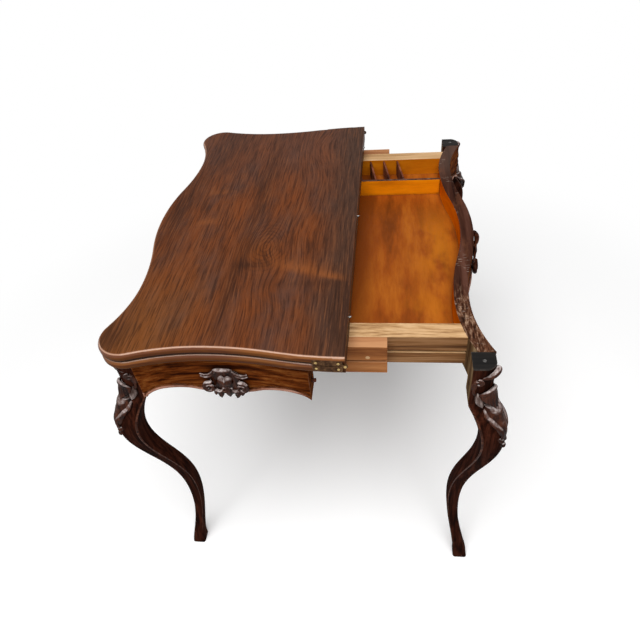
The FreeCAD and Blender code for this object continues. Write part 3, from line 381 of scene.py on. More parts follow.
def makeTopVeneer(values):
    material, tree, shader, place = startMaterial("top veneer")
    spot = place["Object"]
    part = partsOf(spot)
    across = part["X"]
    for figure in values["figures"]:
        across = calc("ADD", across, figurePull(spot, *figure))
    sawn = joined(across, part["Y"], 0.0)
    grains = {key: useGroup(tree, grainGroup, Vector=sawn, **values[key]) for key in ("lines", "bands")}
    lines, bands = grains["lines"], grains["bands"]
    clouds = noiseAt(stretched(sawn, values["clouds"]), 1.0, 5.0, 0.6)
    color = ramp(clouds, (0.36, values["grey"]), (0.50, values["middle"]), (0.64, values["red"]))
    frontLeft = times(spread(part["Y"], -0.10, -0.42), spread(part["X"], -0.12, -0.30), 0.40)
    color = blendColor(frontLeft, color, values["golden"])
    # painted sheen: greyer towards the back and near the hinge edge
    for axis, low, high, strength, key in values["paintedSheens"]:
        color = blendColor(spread(part[axis], low, high, 0.0, strength), color, values[key])
    knot, rings = values["knot"], values["rings"]
    knotShare = spread(awayFrom(spot, knot), knot["reach"], 0.0, 0.0, knot["strength"])
    ringAway = awayFrom(spot, rings)
    ringSway = noiseAt(stretched(spot, rings["swayScale"]), 1.0, 3.0, 0.6)
    phase = calc("ADD", times(ringAway, math.tau / rings["spacing"]), times(ringSway, rings["sway"]))
    ringLines = times(spread(calc("SINE", phase), 0.1, 0.9), spread(ringAway, *rings["reach"]), rings["strength"])
    color = layered(color, (knotShare, knot["color"]), (ringLines, values["dark"]))
    for shade in values["shades"]:
        color = blendColor(figurePull(spot, *shade), color, values["dark"])
    for flare in values["flares"]:
        color = blendColor(flareMask(spot, *flare), color, values["flareColor"])
    for key, low, high, strength, over in values["grainShades"]:
        color = blendColor(spread(grains[key]["Bands"], low, high, 0.0, strength), color, values[over])
    color = layered(color, (times(bands["Streaks"], 0.25), values["streak"]),
                    (times(bands["Pores"], 0.40), values["streak"]))
    # the rounded edge is solid wood, lighter and glossier than the veneer, with a painted highlight on its upper
    # rounding and painted shade where it turns under
    normal = partsOf(place["Normal"])
    facing = normal["Z"]
    rim = spread(calc("ABSOLUTE", facing), 0.985, 0.86)
    wrapped = joined(part["Z"], calc("ADD", part["X"], part["Y"]), 0.0)
    edgeGrain = useGroup(tree, grainGroup, Vector=wrapped, **values["edgeGrain"])
    shortEndFacing = spread(calc("ABSOLUTE", normal["Y"]), 0.05, 0.30, 0.10, 1.0)  # the painted highlight and the coat are strongest on the short ends
    # painted highlight on the upper rounding, where the overhead light would glint
    wearAndHighlight = times(spread(facing, 0.66, 0.86), spread(facing, 0.985, 0.94), shortEndFacing, 0.65)
    # painted shade: the edge darkens where its rounding turns under
    edgeColor = layered(values["middle"], (spread(edgeGrain["Bands"], 0.4, 0.62), values["edge"]),
                        (spread(facing, 0.45, -0.10, 0.0, 0.45), values["dark"]), (wearAndHighlight, values["wearAndHighlight"]))
    # painted shade on the upper leaf's lower rounding above the joint between the leaves, and a dark line at the joint
    joint = calc("ABSOLUTE", calc("SUBTRACT", part["Z"], values["jointHeight"]))
    under = times(spread(joint, 0.0082, 0.0050), spread(facing, 0.10, -0.20))
    jointShade = times(calc("MAXIMUM", under, spread(joint, 0.0016, 0.0006)), rim)
    edges = useGroup(tree, edgeGroup, Edge_Width=0.0018, Hollow_Depth=0.006)
    # painted shade in the hollows and at the joint, laid over the colour
    color = layered(color, (times(rim, 0.95), edgeColor), (times(jointShade, 0.9), values["jointShade"]),
                    (times(edges["Hollow"], 0.85), values["streak"]))
    glossy = times(rim, spread(facing, 0.1, 0.5), shortEndFacing)
    glossy = calc("MULTIPLY", glossy, calc("SUBTRACT", 0.45, jointShade), clamp=True)
    setInputs(shader, Base_Color=color, Roughness=spread(lines["Fibres"], 0.3, 0.7, *values["roughness"]),
              Specular_IOR_Level=0.03, Coat_Weight=glossy, Coat_Roughness=0.10)
    addBump(shader, calc("SUBTRACT", lines["Fibres"], bands["Pores"]), 0.15)
    return material


# turns that bring the grain's own X and Y to the way a piece was sawn
grainTurns = {
    "alongY": (0, 0, 0),
    "alongX": (0, 0, math.radians(90)),
    "alongZ": (math.radians(90), 0, 0),
}


def sawnGrain(tree, place, values, way):
    return useGroup(tree, grainGroup, Vector=stretched(place["Object"], turn=grainTurns[way]),
                    Band_Scale=values["bandScale"], Stretch=values["stretch"], Wander=values["wander"],
                    Seed=values["seed"])


def grainRamp(grain, values, stops):
    return ramp(grain["Bands"], *zip(stops, (values["dark"], values["middle"], values["light"])))


def makeWood(name, values, *coats):
    material, tree, shader, place = startMaterial(name)
    grain = sawnGrain(tree, place, values, values["grain"])
    edges = useGroup(tree, edgeGroup, Edge_Width=values["edgeWidth"], Hollow_Depth=values["hollowDepth"])
    # the hollows take hollowShade, a painted shade
    color = layered(grainRamp(grain, values, values["stops"]),
                    (times(grain["Streaks"], values["streaks"]), values["dark"]),
                    (times(grain["Pores"], values["pores"]), values["dark"]),
                    (times(edges["Worn"], values["worn"]), values["wornColor"]),
                    (times(edges["Hollow"], values["hollow"]), values["hollowShade"]))
    for coat in coats:
        color = coat(tree, place, color)
    setInputs(shader, Base_Color=color, Roughness=spread(grain["Fibres"], 0.3, 0.7, *values["roughness"]),
              Specular_IOR_Level=values["specular"], Coat_Weight=values["coat"], Coat_Roughness=values["coatRoughness"])
    addBump(shader, calc("SUBTRACT", grain["Fibres"], grain["Pores"]), values["bump"])
    return material


rosewood = {
    "grain": "alongX", "bandScale": 90.0, "stretch": 0.045, "wander": 0.012, "seed": 1.0, "stops": (0.37, 0.5, 0.64),
    "dark": (0.026, 0.005, 0.001), "middle": (0.145, 0.033, 0.005), "light": (0.265, 0.085, 0.018),
    "streaks": 0.7, "pores": 0.5, "edgeWidth": 0.0022, "hollowDepth": 0.01, "worn": 0.55,
    "wornColor": (0.34, 0.16, 0.09), "hollow": 0.75, "hollowShade": (0.006, 0.003, 0.002),
    "roughness": (0.36, 0.50), "specular": 0.0, "coat": 0.02, "coatRoughness": 0.25, "bump": 0.12,
}
legWood = dict(rosewood, grain="alongZ", dark=(0.009, 0.003, 0.002), middle=(0.032, 0.008, 0.004),
               light=(0.060, 0.017, 0.009), worn=0.5, wornColor=(0.15, 0.065, 0.04), coatRoughness=0.18, seed=5.0)
carvedWood = dict(rosewood, grain="alongZ", dark=(0.010, 0.003, 0.002), middle=(0.046, 0.012, 0.005),
                  light=(0.085, 0.025, 0.011), worn=0.6, wornColor=(0.16, 0.085, 0.06), edgeWidth=0.002,
                  hollow=0.95, hollowShade=(0.004, 0.002, 0.001), roughness=(0.24, 0.36), coat=0.22,
                  coatRoughness=0.12, seed=9.0)
# painted highlight: the petals are light grey where the carving would catch the light
litPetalWood = dict(carvedWood, dark=(0.040, 0.022, 0.017), middle=(0.150, 0.105, 0.092), light=(0.36, 0.295, 0.275),
                 bandScale=150.0, stretch=0.2, seed=9.8)
# painted highlight: the leg beads are lighter than the legs, and the apron bead is pale pink
litBeadWood = dict(rosewood, dark=(0.020, 0.006, 0.003), middle=(0.062, 0.019, 0.009), light=(0.13, 0.046, 0.025),
                worn=0.0, hollow=0.6, specular=0.02, coat=0.12, coatRoughness=0.15, seed=10.0)
paleLitBead = dict(litBeadWood, dark=(0.12, 0.045, 0.024), middle=(0.30, 0.135, 0.085), light=(0.46, 0.25, 0.18), seed=10.5)
bareWood = dict(rosewood, bandScale=30.0, stretch=0.07, wander=0.02, pores=0.2, streaks=0.35, worn=0.0,
                hollow=0.5, hollowShade=(0.05, 0.025, 0.01), roughness=(0.55, 0.75), specular=0.08, coat=0.0, bump=0.2)
pineWood = dict(bareWood, dark=(0.27, 0.130, 0.050), middle=(0.52, 0.31, 0.145), light=(0.68, 0.45, 0.25), seed=2.0)
archedPine = dict(pineWood, bandScale=110.0, stretch=0.10, wander=0.09, dark=(0.19, 0.085, 0.030), seed=2.1)
agedPine = dict(pineWood, bandScale=75.0, stretch=0.03, dark=(0.055, 0.022, 0.009), middle=(0.24, 0.105, 0.038),
                light=(0.42, 0.23, 0.105), seed=2.4)
pearWood = dict(bareWood, dark=(0.18, 0.056, 0.016), middle=(0.39, 0.145, 0.045), light=(0.54, 0.24, 0.09), seed=4.0)
palePear = dict(pearWood, dark=(0.25, 0.095, 0.036), middle=(0.39, 0.165, 0.068), light=(0.50, 0.245, 0.112), seed=4.6)
stainedWood = dict(bareWood, grain="alongY", dark=(0.15, 0.033, 0.003), middle=(0.275, 0.060, 0.005),
                   light=(0.40, 0.110, 0.010), bandScale=16.0, stretch=0.2, roughness=(0.4, 0.6), seed=6.0)
brightStain = dict(stainedWood, grain="alongX", dark=(0.46, 0.115, 0.001), middle=(0.76, 0.220, 0.001),
                   light=(0.90, 0.31, 0.004), seed=6.6)
apronStain = dict(brightStain, dark=(0.36, 0.064, 0.001), middle=(0.60, 0.120, 0.001), light=(0.74, 0.18, 0.003))
railStain = dict(brightStain, dark=(0.26, 0.062, 0.001), middle=(0.46, 0.125, 0.001), light=(0.58, 0.185, 0.004),
                 seed=6.9)
dividerWood = dict(bareWood, grain="alongZ", dark=(0.045, 0.012, 0.007), middle=(0.15, 0.040, 0.020),
                   light=(0.24, 0.075, 0.036), seed=8.0)
blackWood = dict(bareWood, dark=(0.006, 0.006, 0.006), middle=(0.016, 0.014, 0.013), light=(0.034, 0.030, 0.027),
                 worn=0.7, wornColor=(0.11, 0.09, 0.075), seed=11.0)
rawWood = dict(bareWood, bandScale=60.0, stretch=0.06, dark=(0.07, 0.035, 0.016), middle=(0.22, 0.13, 0.06),
               light=(0.42, 0.29, 0.16), seed=14.0)


# a coat takes the colour that a wood has so far and gives back the colour with the coat on it
def faceFinish(way, limit, finish, lowest=None, within=None, soft=0.1):
    # lays a finish on the faces that look one way, above a height or within a distance of the middle
    def coat(tree, place, color):
        facing = vectorCalc("DOT_PRODUCT", place["Normal"], ways[way])
        mask = spread(facing, limit - soft, limit + soft)
        part = partsOf(place["Object"])
        if lowest is not None:
            mask = times(mask, spread(part["Z"], lowest - 0.01, lowest + 0.01))
        if within is not None:
            aside = calc("ABSOLUTE", part["Y"])
            mask = times(mask, spread(aside, within + 0.002, within - 0.002))
        return blendColor(mask, color, finish(tree, place))
    return coat


def woodFinish(values, way, stops=(0.32, 0.48, 0.64), streaks=0.30):
    def finish(tree, place):
        grain = sawnGrain(tree, place, values, way)
        color = grainRamp(grain, values, stops)
        return blendColor(times(grain["Streaks"], streaks), color, values["dark"])
    return finish


wornTop = {
    "grain": {"Band_Scale": 70.0, "Stretch": 0.05, "Wander": 0.02, "Seed": 12.0},
    "wood": [(0.35, (0.018, 0.007, 0.005)), (0.5, (0.052, 0.019, 0.012)), (0.66, (0.098, 0.040, 0.027))],
    "chipScale": (260, 60, 1),
    "chipTurn": (0, 0, -0.35),
    "chips": [(0.40, (0.018, 0.008, 0.005)), (0.53, (0.105, 0.042, 0.022)), (0.68, (0.40, 0.26, 0.17))],
    "greyed": (0.115, 0.075, 0.058),
    "wearAndHighlight": (0.16, 0.06, 0.03),
    "nicked": (0.42, 0.33, 0.27),
}


def wornTopFinish(tree, place):
    spot = place["Object"]
    grain = useGroup(tree, grainGroup, Vector=spot, **wornTop["grain"])
    marks = useGroup(tree, scratchGroup, Vector=spot)
    along = partsOf(spot)["Y"]
    chips = noiseAt(stretched(spot, wornTop["chipScale"], wornTop["chipTurn"]), 1.0, 5.0, 0.65)
    return layered(ramp(grain["Bands"], *wornTop["wood"]),
                   (spread(along, -0.17, -0.30, 0.0, 0.85), ramp(chips, *wornTop["chips"])),
                   (spread(along, 0.16, 0.32, 0.0, 0.45), wornTop["greyed"]),
                   (spread(marks["Rubs"], 0.5, 0.72, 0.0, 0.5), wornTop["wearAndHighlight"]),
                   (times(marks["Nicks"], 0.8), wornTop["nicked"]))


# painted highlight: pale grey laid on the upward faces of the carving, where the overhead light would glint
crownHighlights = [(0.33, (0.10, 0.060, 0.050)), (0.50, (0.29, 0.225, 0.210)), (0.62, (0.53, 0.46, 0.44))]


def paintedCrownHighlight(tree, place):
    return ramp(noiseAt(place["Object"], 120.0, 3.0, 0.6), *crownHighlights)


floorStain = {
    "scale": (14.0, 8.4, 14.0),
    "pale": (0.56, 0.175, 0.008),
    "deep": (0.20, 0.042, 0.004),
    # each spot: middle, reach, strength
    "faded": [((0.28, -0.02), (0.05, 0.14), 0.62), ((0.25, -0.24), (0.06, 0.09), 0.34),
              ((0.09, -0.20), (0.05, 0.08), 0.12)],
    # painted shadow of the leaf's overhang: middle, reach, strength
    "overhangShadow": [((0.10, -0.05), (0.035, 0.36), 0.85)],
}


def stainBlotches(tree, place, color):
    # the floor's stain has faded at some spots and darkens here and there, and a painted shadow lies along the strip
    # under the leaf's overhang
    spot = place["Object"]
    cloud = noiseAt(stretched(spot, floorStain["scale"]), 1.0, 4.0, 0.55)
    for faded in floorStain["faded"]:
        share = times(figurePull(spot, *faded), spread(cloud, 0.36, 0.60))
        color = blendColor(share, color, floorStain["pale"])
    shares = [spread(cloud, 0.45, 0.30, 0.0, 0.35)]
    shares += [figurePull(spot, *overhangShadow) for overhangShadow in floorStain["overhangShadow"]]
    return layered(color, *((share, floorStain["deep"]) for share in shares))


def makeMetal(name, values):
    material, tree, shader, place = startMaterial(name)
    tarnish = noiseAt(place["Object"], values["patches"], 6.0, 0.65)
    edges = useGroup(tree, edgeGroup, Edge_Width=0.0006, Hollow_Depth=0.002, Patchiness=300.0)
    color = ramp(tarnish, (0.38, values["dark"]), (0.52, values["middle"]), (0.68, values["light"]))
    color = layered(color, (times(edges["Worn"], 0.8), values["light"]), (times(edges["Hollow"], 0.7), values["dark"]))
    setInputs(shader, Base_Color=color, Metallic=1.0, Roughness=spread(tarnish, 0.3, 0.7, *values["roughness"]))
    addBump(shader, noiseAt(place["Object"], 900.0, 2.0), 0.15, 0.0003)
    return material


strapBrass = {"dark": (0.040, 0.018, 0.008), "middle": (0.090, 0.042, 0.018), "light": (0.22, 0.125, 0.055),
              "patches": 90.0, "roughness": (0.65, 0.5)}
screwBrass = {"dark": (0.20, 0.13, 0.05), "middle": (0.50, 0.34, 0.13), "light": (0.80, 0.60, 0.28),
              "patches": 260.0, "roughness": (0.4, 0.22)}
wornSteel = {"dark": (0.10, 0.095, 0.09), "middle": (0.30, 0.29, 0.28), "light": (0.60, 0.59, 0.57),
             "patches": 220.0, "roughness": (0.5, 0.3)}
clothLook = {"dark": (0.012, 0.045, 0.024), "light": (0.035, 0.105, 0.055), "wearAndHighlight": (0.075, 0.135, 0.075),
             "nap": 1400.0, "rubs": 9.0}


def makeCloth(values):
    material, tree, shader, place = startMaterial("playing cloth")
    nap = noiseAt(place["Object"], values["nap"], 3.0, 0.7)
    rubs = noiseAt(place["Object"], values["rubs"], 4.0, 0.6)
    color = layered(values["dark"], (spread(nap, 0.35, 0.65), values["light"]),
                    (spread(rubs, 0.55, 0.75, 0.0, 0.35), values["wearAndHighlight"]))
    setInputs(shader, Base_Color=color, Roughness=0.95, Sheen_Weight=0.4, Specular_IOR_Level=0.1)
    addBump(shader, nap, 0.5)
    return material


rawFinish = woodFinish(rawWood, "alongZ", (0.36, 0.5, 0.62), 0.0)
railInside, railOutside = woodFinish(railStain, "alongX"), woodFinish(agedPine, "alongX")
topMaterial = makeTopVeneer(topVeneer)
shortApronMaterial = makeWood("short apron rosewood", rosewood)
longApronMaterial = makeWood("long apron rosewood", dict(rosewood, grain="alongY", seed=2.5))
rightApronMaterial = makeWood(
    "pull-out apron rosewood", dict(rosewood, grain="alongY", seed=3.5), faceFinish("left", 0.45, rawFinish),
    faceFinish("left", 0.45, woodFinish(apronStain, "alongY"), within=0.32), faceFinish("up", 0.8, wornTopFinish))
legMaterial = makeWood("leg rosewood", legWood)
rightLegMaterial = makeWood("right leg rosewood", dict(legWood, seed=6.5),
                            faceFinish("left", 0.8, rawFinish, lowest=0.60))
# carving with a painted highlight on its upward faces; the lit copy has it on more faces and the shaded copy has none
carvedMaterial = makeWood("carved rosewood", carvedWood, faceFinish("up", 0.72, paintedCrownHighlight, soft=0.20))
litCarving = makeWood("lit carved rosewood", dict(carvedWood, seed=9.2),
                      faceFinish("up", 0.55, paintedCrownHighlight, soft=0.22))
shadedCarving = makeWood("shaded carved rosewood", dict(carvedWood, worn=0.3, coat=0.12, seed=9.5))
litPetalMaterial = makeWood("rubbed petals", litPetalWood)
beadMaterial = makeWood("bead rosewood", litBeadWood)
edgeBeadMaterial = makeWood("apron bead rosewood", paleLitBead)
pineMaterial = makeWood("pine", pineWood)
frontRailMaterial = makeWood(
    "front rail pine", dict(pineWood, seed=2.2), faceFinish("back", 0.6, railInside),
    faceFinish("front", 0.6, railOutside), faceFinish("up", 0.6, woodFinish(archedPine, "alongX")))
backRailMaterial = makeWood("back rail pine", dict(pineWood, seed=2.7), faceFinish("front", 0.6, railInside),
                            faceFinish("back", 0.6, railOutside))
pearMaterial = makeWood("pearwood", pearWood, faceFinish("up", 0.8, woodFinish(palePear, "alongX")))
floorMaterial = makeWood("well floor stain", stainedWood, stainBlotches)
wallMaterial = makeWood("well wall stain", brightStain, faceFinish("up", 0.8, wornTopFinish))
dividerMaterial = makeWood("divider wood", dividerWood)
blackMaterial = makeWood("ebonised wood", blackWood)
strapMaterial = makeMetal("patinated brass", strapBrass)
screwMaterial = makeMetal("bright brass", screwBrass)
steelMaterial = makeMetal("worn steel", wornSteel)
clothMaterial = makeCloth(clothLook)

nodeFinishes = {
    "upper_leaf": topMaterial, "lower_leaf": topMaterial,
    "front_apron": shortApronMaterial, "back_apron": shortApronMaterial,
    "left_apron": longApronMaterial, "right_apron": rightApronMaterial,
    "left_front_leg": legMaterial, "left_back_leg": legMaterial,
    "right_front_leg": rightLegMaterial, "right_back_leg": rightLegMaterial,
    "front_rail": frontRailMaterial, "back_rail": backRailMaterial,
    "well_floor": floorMaterial, "well_end_wall": floorMaterial, "well_partition": wallMaterial,
}
# for the other nodes, the first of these words that the name holds says the finish
wordFinishes = {
    "divider": dividerMaterial, "peg": dividerMaterial, "glue_block": pineMaterial, "dowel": pineMaterial,
    "loper": pearMaterial, "guide_key": pearMaterial, "leg_cap": blackMaterial, "strap_screws": screwMaterial,
    "rivet": screwMaterial, "strap": strapMaterial, "screw": steelMaterial, "stud": steelMaterial,
    "lining": clothMaterial, "": carvedMaterial,
}
for name, node in cadNodes.items():
    node.data.materials.clear()
    node.data.materials.append(
        nodeFinishes.get(name) or next(material for word, material in wordFinishes.items() if word in name))
print("stage: finishes on", len(cadNodes), "nodes")


# floor and studio light
stageLook = {
    "floorSize": 30.0,
    "floorShown": (0.95, 0.95, 0.95),
    "floorBounce": (0.40, 0.40, 0.40),
    "floorGlow": 0.10,
    "fade": (0.75, 1.7),  # metres from the middle over which the floor turns into the white backdrop
    "keyPosition": (-0.10, -1.75, 4.0),
    "keyTarget": (0.0, 0.0, 0.55),
    "keySize": 3.2,
    "keyPower": 178.0,
    "wallLight": 0.58,
    "ceilingLight": 0.25,
}


def lightRays(tree):
    # rays that leave the camera, and rays that see the stage in a polished face
    path = addNode(tree, "ShaderNodeLightPath").outputs
    return path["Is Camera Ray"], calc("MAXIMUM", path["Is Glossy Ray"], path["Is Transmission Ray"])


def makeFloor(look):
    mesh = bpy.data.meshes.new("floor")
    half = look["floorSize"] / 2
    mesh.from_pydata([(-half, -half, 0), (half, -half, 0), (half, half, 0), (-half, half, 0)], [], [(0, 1, 2, 3)])
    floor = bpy.data.objects.new("floor", mesh)
    scene.collection.objects.link(floor)
    material, tree, shader, place = startMaterial("floor")
    direct, mirrored = lightRays(tree)
    seen = calc("MAXIMUM", direct, mirrored)
    far = spread(vectorCalc("LENGTH", place["Object"]), *look["fade"])
    shown = blendColor(far, look["floorShown"], (0, 0, 0))
    glow = calc("ADD", times(far, 1.0 - look["floorGlow"]), look["floorGlow"])
    setInputs(shader, Base_Color=blendColor(seen, look["floorBounce"], shown), Roughness=0.9,
              Specular_IOR_Level=0.0, Emission_Color=(1, 1, 1), Emission_Strength=times(glow, seen))
    mesh.materials.append(material)


def makeLights(look):
    data = bpy.data.lights.new("key", "AREA")
    data.shape = "SQUARE"
    data.size = look["keySize"]
    data.energy = look["keyPower"]
    key = bpy.data.objects.new("key", data)
    position = Vector(look["keyPosition"])
    key.location = position
    key.rotation_euler = (Vector(look["keyTarget"]) - position).to_track_quat("-Z", "Y").to_euler()
    scene.collection.objects.link(key)
    world = bpy.data.worlds.new("studio")
    scene.world = world
    world.use_nodes = True
    tree = world.node_tree
    direct, mirrored = lightRays(tree)
    height = partsOf(addNode(tree, "ShaderNodeTexCoord").outputs["Generated"])["Z"]
    studio = spread(height, 0.1, 0.75, look["wallLight"], look["ceilingLight"])
    shown = spread(height, 0.25, 0.6, 1.0, look["ceilingLight"])
    strength = blendNumber(direct, blendNumber(mirrored, studio, shown), 1.0)
    setInputs(tree.nodes["Background"], Color=(1, 1, 1), Strength=strength)


makeFloor(stageLook)
makeLights(stageLook)
print("stage: floor and lights")


def addPiece(name, work, material, body, node=None):
    mesh = bpy.data.meshes.new(name)
    work.to_mesh(mesh)
    work.free()
    piece = bpy.data.objects.new(name, mesh)
    scene.collection.objects.link(piece)
    mesh.materials.append(material)
    if node:
        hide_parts(node)
    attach(piece, body)
    return piece


# playing-cloth sheets in place of the plain linings
liningSheets = {
    "lower_lining": {"leaf": "lower_leaf", "body": "fixed_frame", "up": True},
    "upper_lining": {"leaf": "upper_leaf", "body": "upper_leaf", "up": False},
}


def makeLining(name, values):
    low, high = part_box(name)
    level = high.z if values["up"] else low.z
    work = bmesh.new()
    work.from_mesh(cadNodes[name].data)
    hidden = [face for face in work.faces if any(abs(v.co.z - level) > 1e-5 for v in face.verts)]
    bmesh.ops.delete(work, geom=hidden, context="FACES")
    bmesh.ops.remove_doubles(work, verts=work.verts, dist=1e-6)
    area = sum(face.calc_area() for face in work.faces)
    sheet = addPiece(name + "_cloth", work, clothMaterial, values["body"], name)


for name, values in liningSheets.items():
    makeLining(name, values)
print("stage: linings")


# carving is drawn in millimetres as (side, up, proud) and laid on the surface that carries it
def curvePoint(before, start, end, after, u):
    return 0.5 * (2 * start + (end - before) * u + (2 * before - 5 * start + 4 * end - after) * u ** 2
                  + (3 * start - before - 3 * end + after) * u ** 3)


def smoothPath(points, steps):
    rows = [Vector(point) for point in points]
    rows = [rows[0] * 2 - rows[1], *rows, rows[-1] * 2 - rows[-2]]
    path = [curvePoint(*rows[index:index + 4], step / steps) for index in range(len(rows) - 3) for step in range(steps)]
    return path + [rows[-2]]


def smoothRing(points, steps=3):
    # rounds a closed outline
    rows = [Vector(point) for point in (points[-1], *points, *points[:2])]
    return [curvePoint(*rows[index:index + 4], step / steps) for index in range(len(points)) for step in range(steps)]


def sided(points, side, middle=0.0):
    # as drawn for side 1 and mirrored for side -1
    return [(middle + side * point[0], *point[1:]) for point in points]


def skinRings(work, lay, rings, first, last):
    # joins rings of equal count and closes both ends on a point
    loops = [[work.verts.new(lay(*point)) for point in ring] for ring in rings]
    count = len(loops[0])
    for one, two in zip(loops, loops[1:]):
        for index in range(count):
            after = (index + 1) % count
            work.faces.new((one[index], one[after], two[after], two[index]))
    for loop, point, turn in ((loops[0], first, -1), (loops[-1], last, 1)):
        tip = work.verts.new(lay(*point))
        for index in range(count):
            pair = (loop[index], loop[(index + 1) % count])[::turn]
            work.faces.new((*pair, tip))


rollCap = [(0.6, 0.8), (0.9, 0.45)]  # how far past a roll's end and how wide, in its radius


def addRoll(work, lay, points, steps=5, sides=10):
    # points are (side, up, proud, radius)
    path = smoothPath(points, steps)
    rings = []
    for index, point in enumerate(path):
        ahead = path[min(index + 1, len(path) - 1)].xyz - path[max(index - 1, 0)].xyz
        ahead.normalize()
        proud = Vector((0, 0, 1)) - ahead * ahead.z
        proud.normalize()
        across = ahead.cross(proud)
        places = [(0, 1)]
        if index == 0:
            first = point.xyz - ahead * point.w
            places = [(-far, size) for far, size in rollCap[::-1]] + places
        elif index == len(path) - 1:
            places += rollCap
        for shift, size in places:
            middle = point.xyz + ahead * point.w * shift
            rings.append([middle + (across * math.cos(angle) + proud * math.sin(angle)) * point.w * size
                          for angle in (math.tau * k / sides for k in range(sides))])
    skinRings(work, lay, rings, first, point.xyz + ahead * point.w)


voluteShape = {"pointsPerTurn": 8, "closing": 0.72, "rise": 0.7, "thinning": 0.35}


def addVolute(work, lay, middle, reach, thick, turns, way, start, proud):
    points = []
    count = int(turns * voluteShape["pointsPerTurn"])
    for index in range(count + 1):
        share = index / count
        angle = math.radians(start + way * 360 * turns * share)
        radius = reach * (1 - voluteShape["closing"] * share)
        points.append((middle[0] + math.cos(angle) * radius, middle[1] + math.sin(angle) * radius,
                       proud + thick * voluteShape["rise"] * share, thick * (1 - voluteShape["thinning"] * share)))
    addRoll(work, lay, points, steps=2)


def addDome(work, lay, outline, height, roundness, grooves=None, rise=0.0, sunk=-2.5, levels=7, closing=0.94):
    # a cushion over a closed outline: rings close in on the middle and rise with a round shoulder
    ring = [Vector((*point, 0)) for point in outline]
    middle = sum(ring, Vector()) / len(ring)
    top = max(point.y for point in ring)
    bottom = min(point.y for point in ring)
    rings = [[(point.x, point.y, sunk) for point in ring]]
    for level in range(levels):
        share = 1 - closing * level / (levels - 1)
        row = []
        for point in ring:
            spot = middle + (point - middle) * share
            lift = rise * (spot.y - bottom) / (top - bottom)
            proud = (height + lift) * (1 - share ** roundness) ** (1 / roundness)
            if grooves:
                proud += grooves(spot.x - middle.x, spot.y - middle.y) * (1 - share ** 3)
            row.append((spot.x, spot.y, proud))
        rings.append(row)
    skinRings(work, lay, rings, (middle.x, middle.y, sunk), (middle.x, middle.y, height + rise * 0.5))


def leafOutline(spine, width, fullest, count=12):
    # a leaf round a bent spine: fullest says how far along it is widest
    path = smoothPath([(*point, 0) for point in spine], count)
    left, right = [], []
    for index, point in enumerate(path):
        share = index / (len(path) - 1)
        bulge = share / fullest if share < fullest else (1 - share) / (1 - fullest)
        half = max(width * math.sin(math.pi / 2 * bulge) ** 0.8, 0.25)
        ahead = path[min(index + 1, len(path) - 1)] - path[max(index - 1, 0)]
        across = Vector((-ahead.y, ahead.x, 0)).normalized() * half
        left.append((point + across).to_2d())
        right.append((point - across).to_2d())
    return left + right[::-1]


def addLeaf(work, lay, leaf, side=1, middle=0.0):
    # a vein is (depth, width) and ribs are (height, closeness)
    veinDepth, veinWidth = leaf.get("vein", (0.0, 1.0))
    ribHeight, ribCloseness = leaf.get("ribs", (0.0, 1.0))
    addDome(work, lay, leafOutline(sided(leaf["spine"], side, middle), leaf["width"], leaf["fullest"]), leaf["height"],
            leaf["roundness"], rise=leaf.get("rise", 0.0),
            grooves=lambda s, t: -veinDepth * math.exp(-(s / veinWidth) ** 2) + ribHeight * math.cos(s * ribCloseness))


def carve(build, lay):
    work = bmesh.new()
    build(work, lay)
    bmesh.ops.recalc_face_normals(work, faces=work.faces)
    return work


def makeCarving(name, build, lay, node, body, material, voxel):
    piece = addPiece(name, carve(build, lay), material, body, node)
    fuse = piece.modifiers.new("fuse", "REMESH")
    fuse.mode = "VOXEL"
    fuse.voxel_size = voxel
    fuse.use_smooth_shade = True
    soften = piece.modifiers.new("soften", "SMOOTH")
    soften.factor = 0.5
    soften.iterations = 1


def surfaceOf(name):
    mesh = cadNodes[name].data
    return BVHTree.FromPolygons([vertex.co for vertex in mesh.vertices], [face.vertices for face in mesh.polygons])


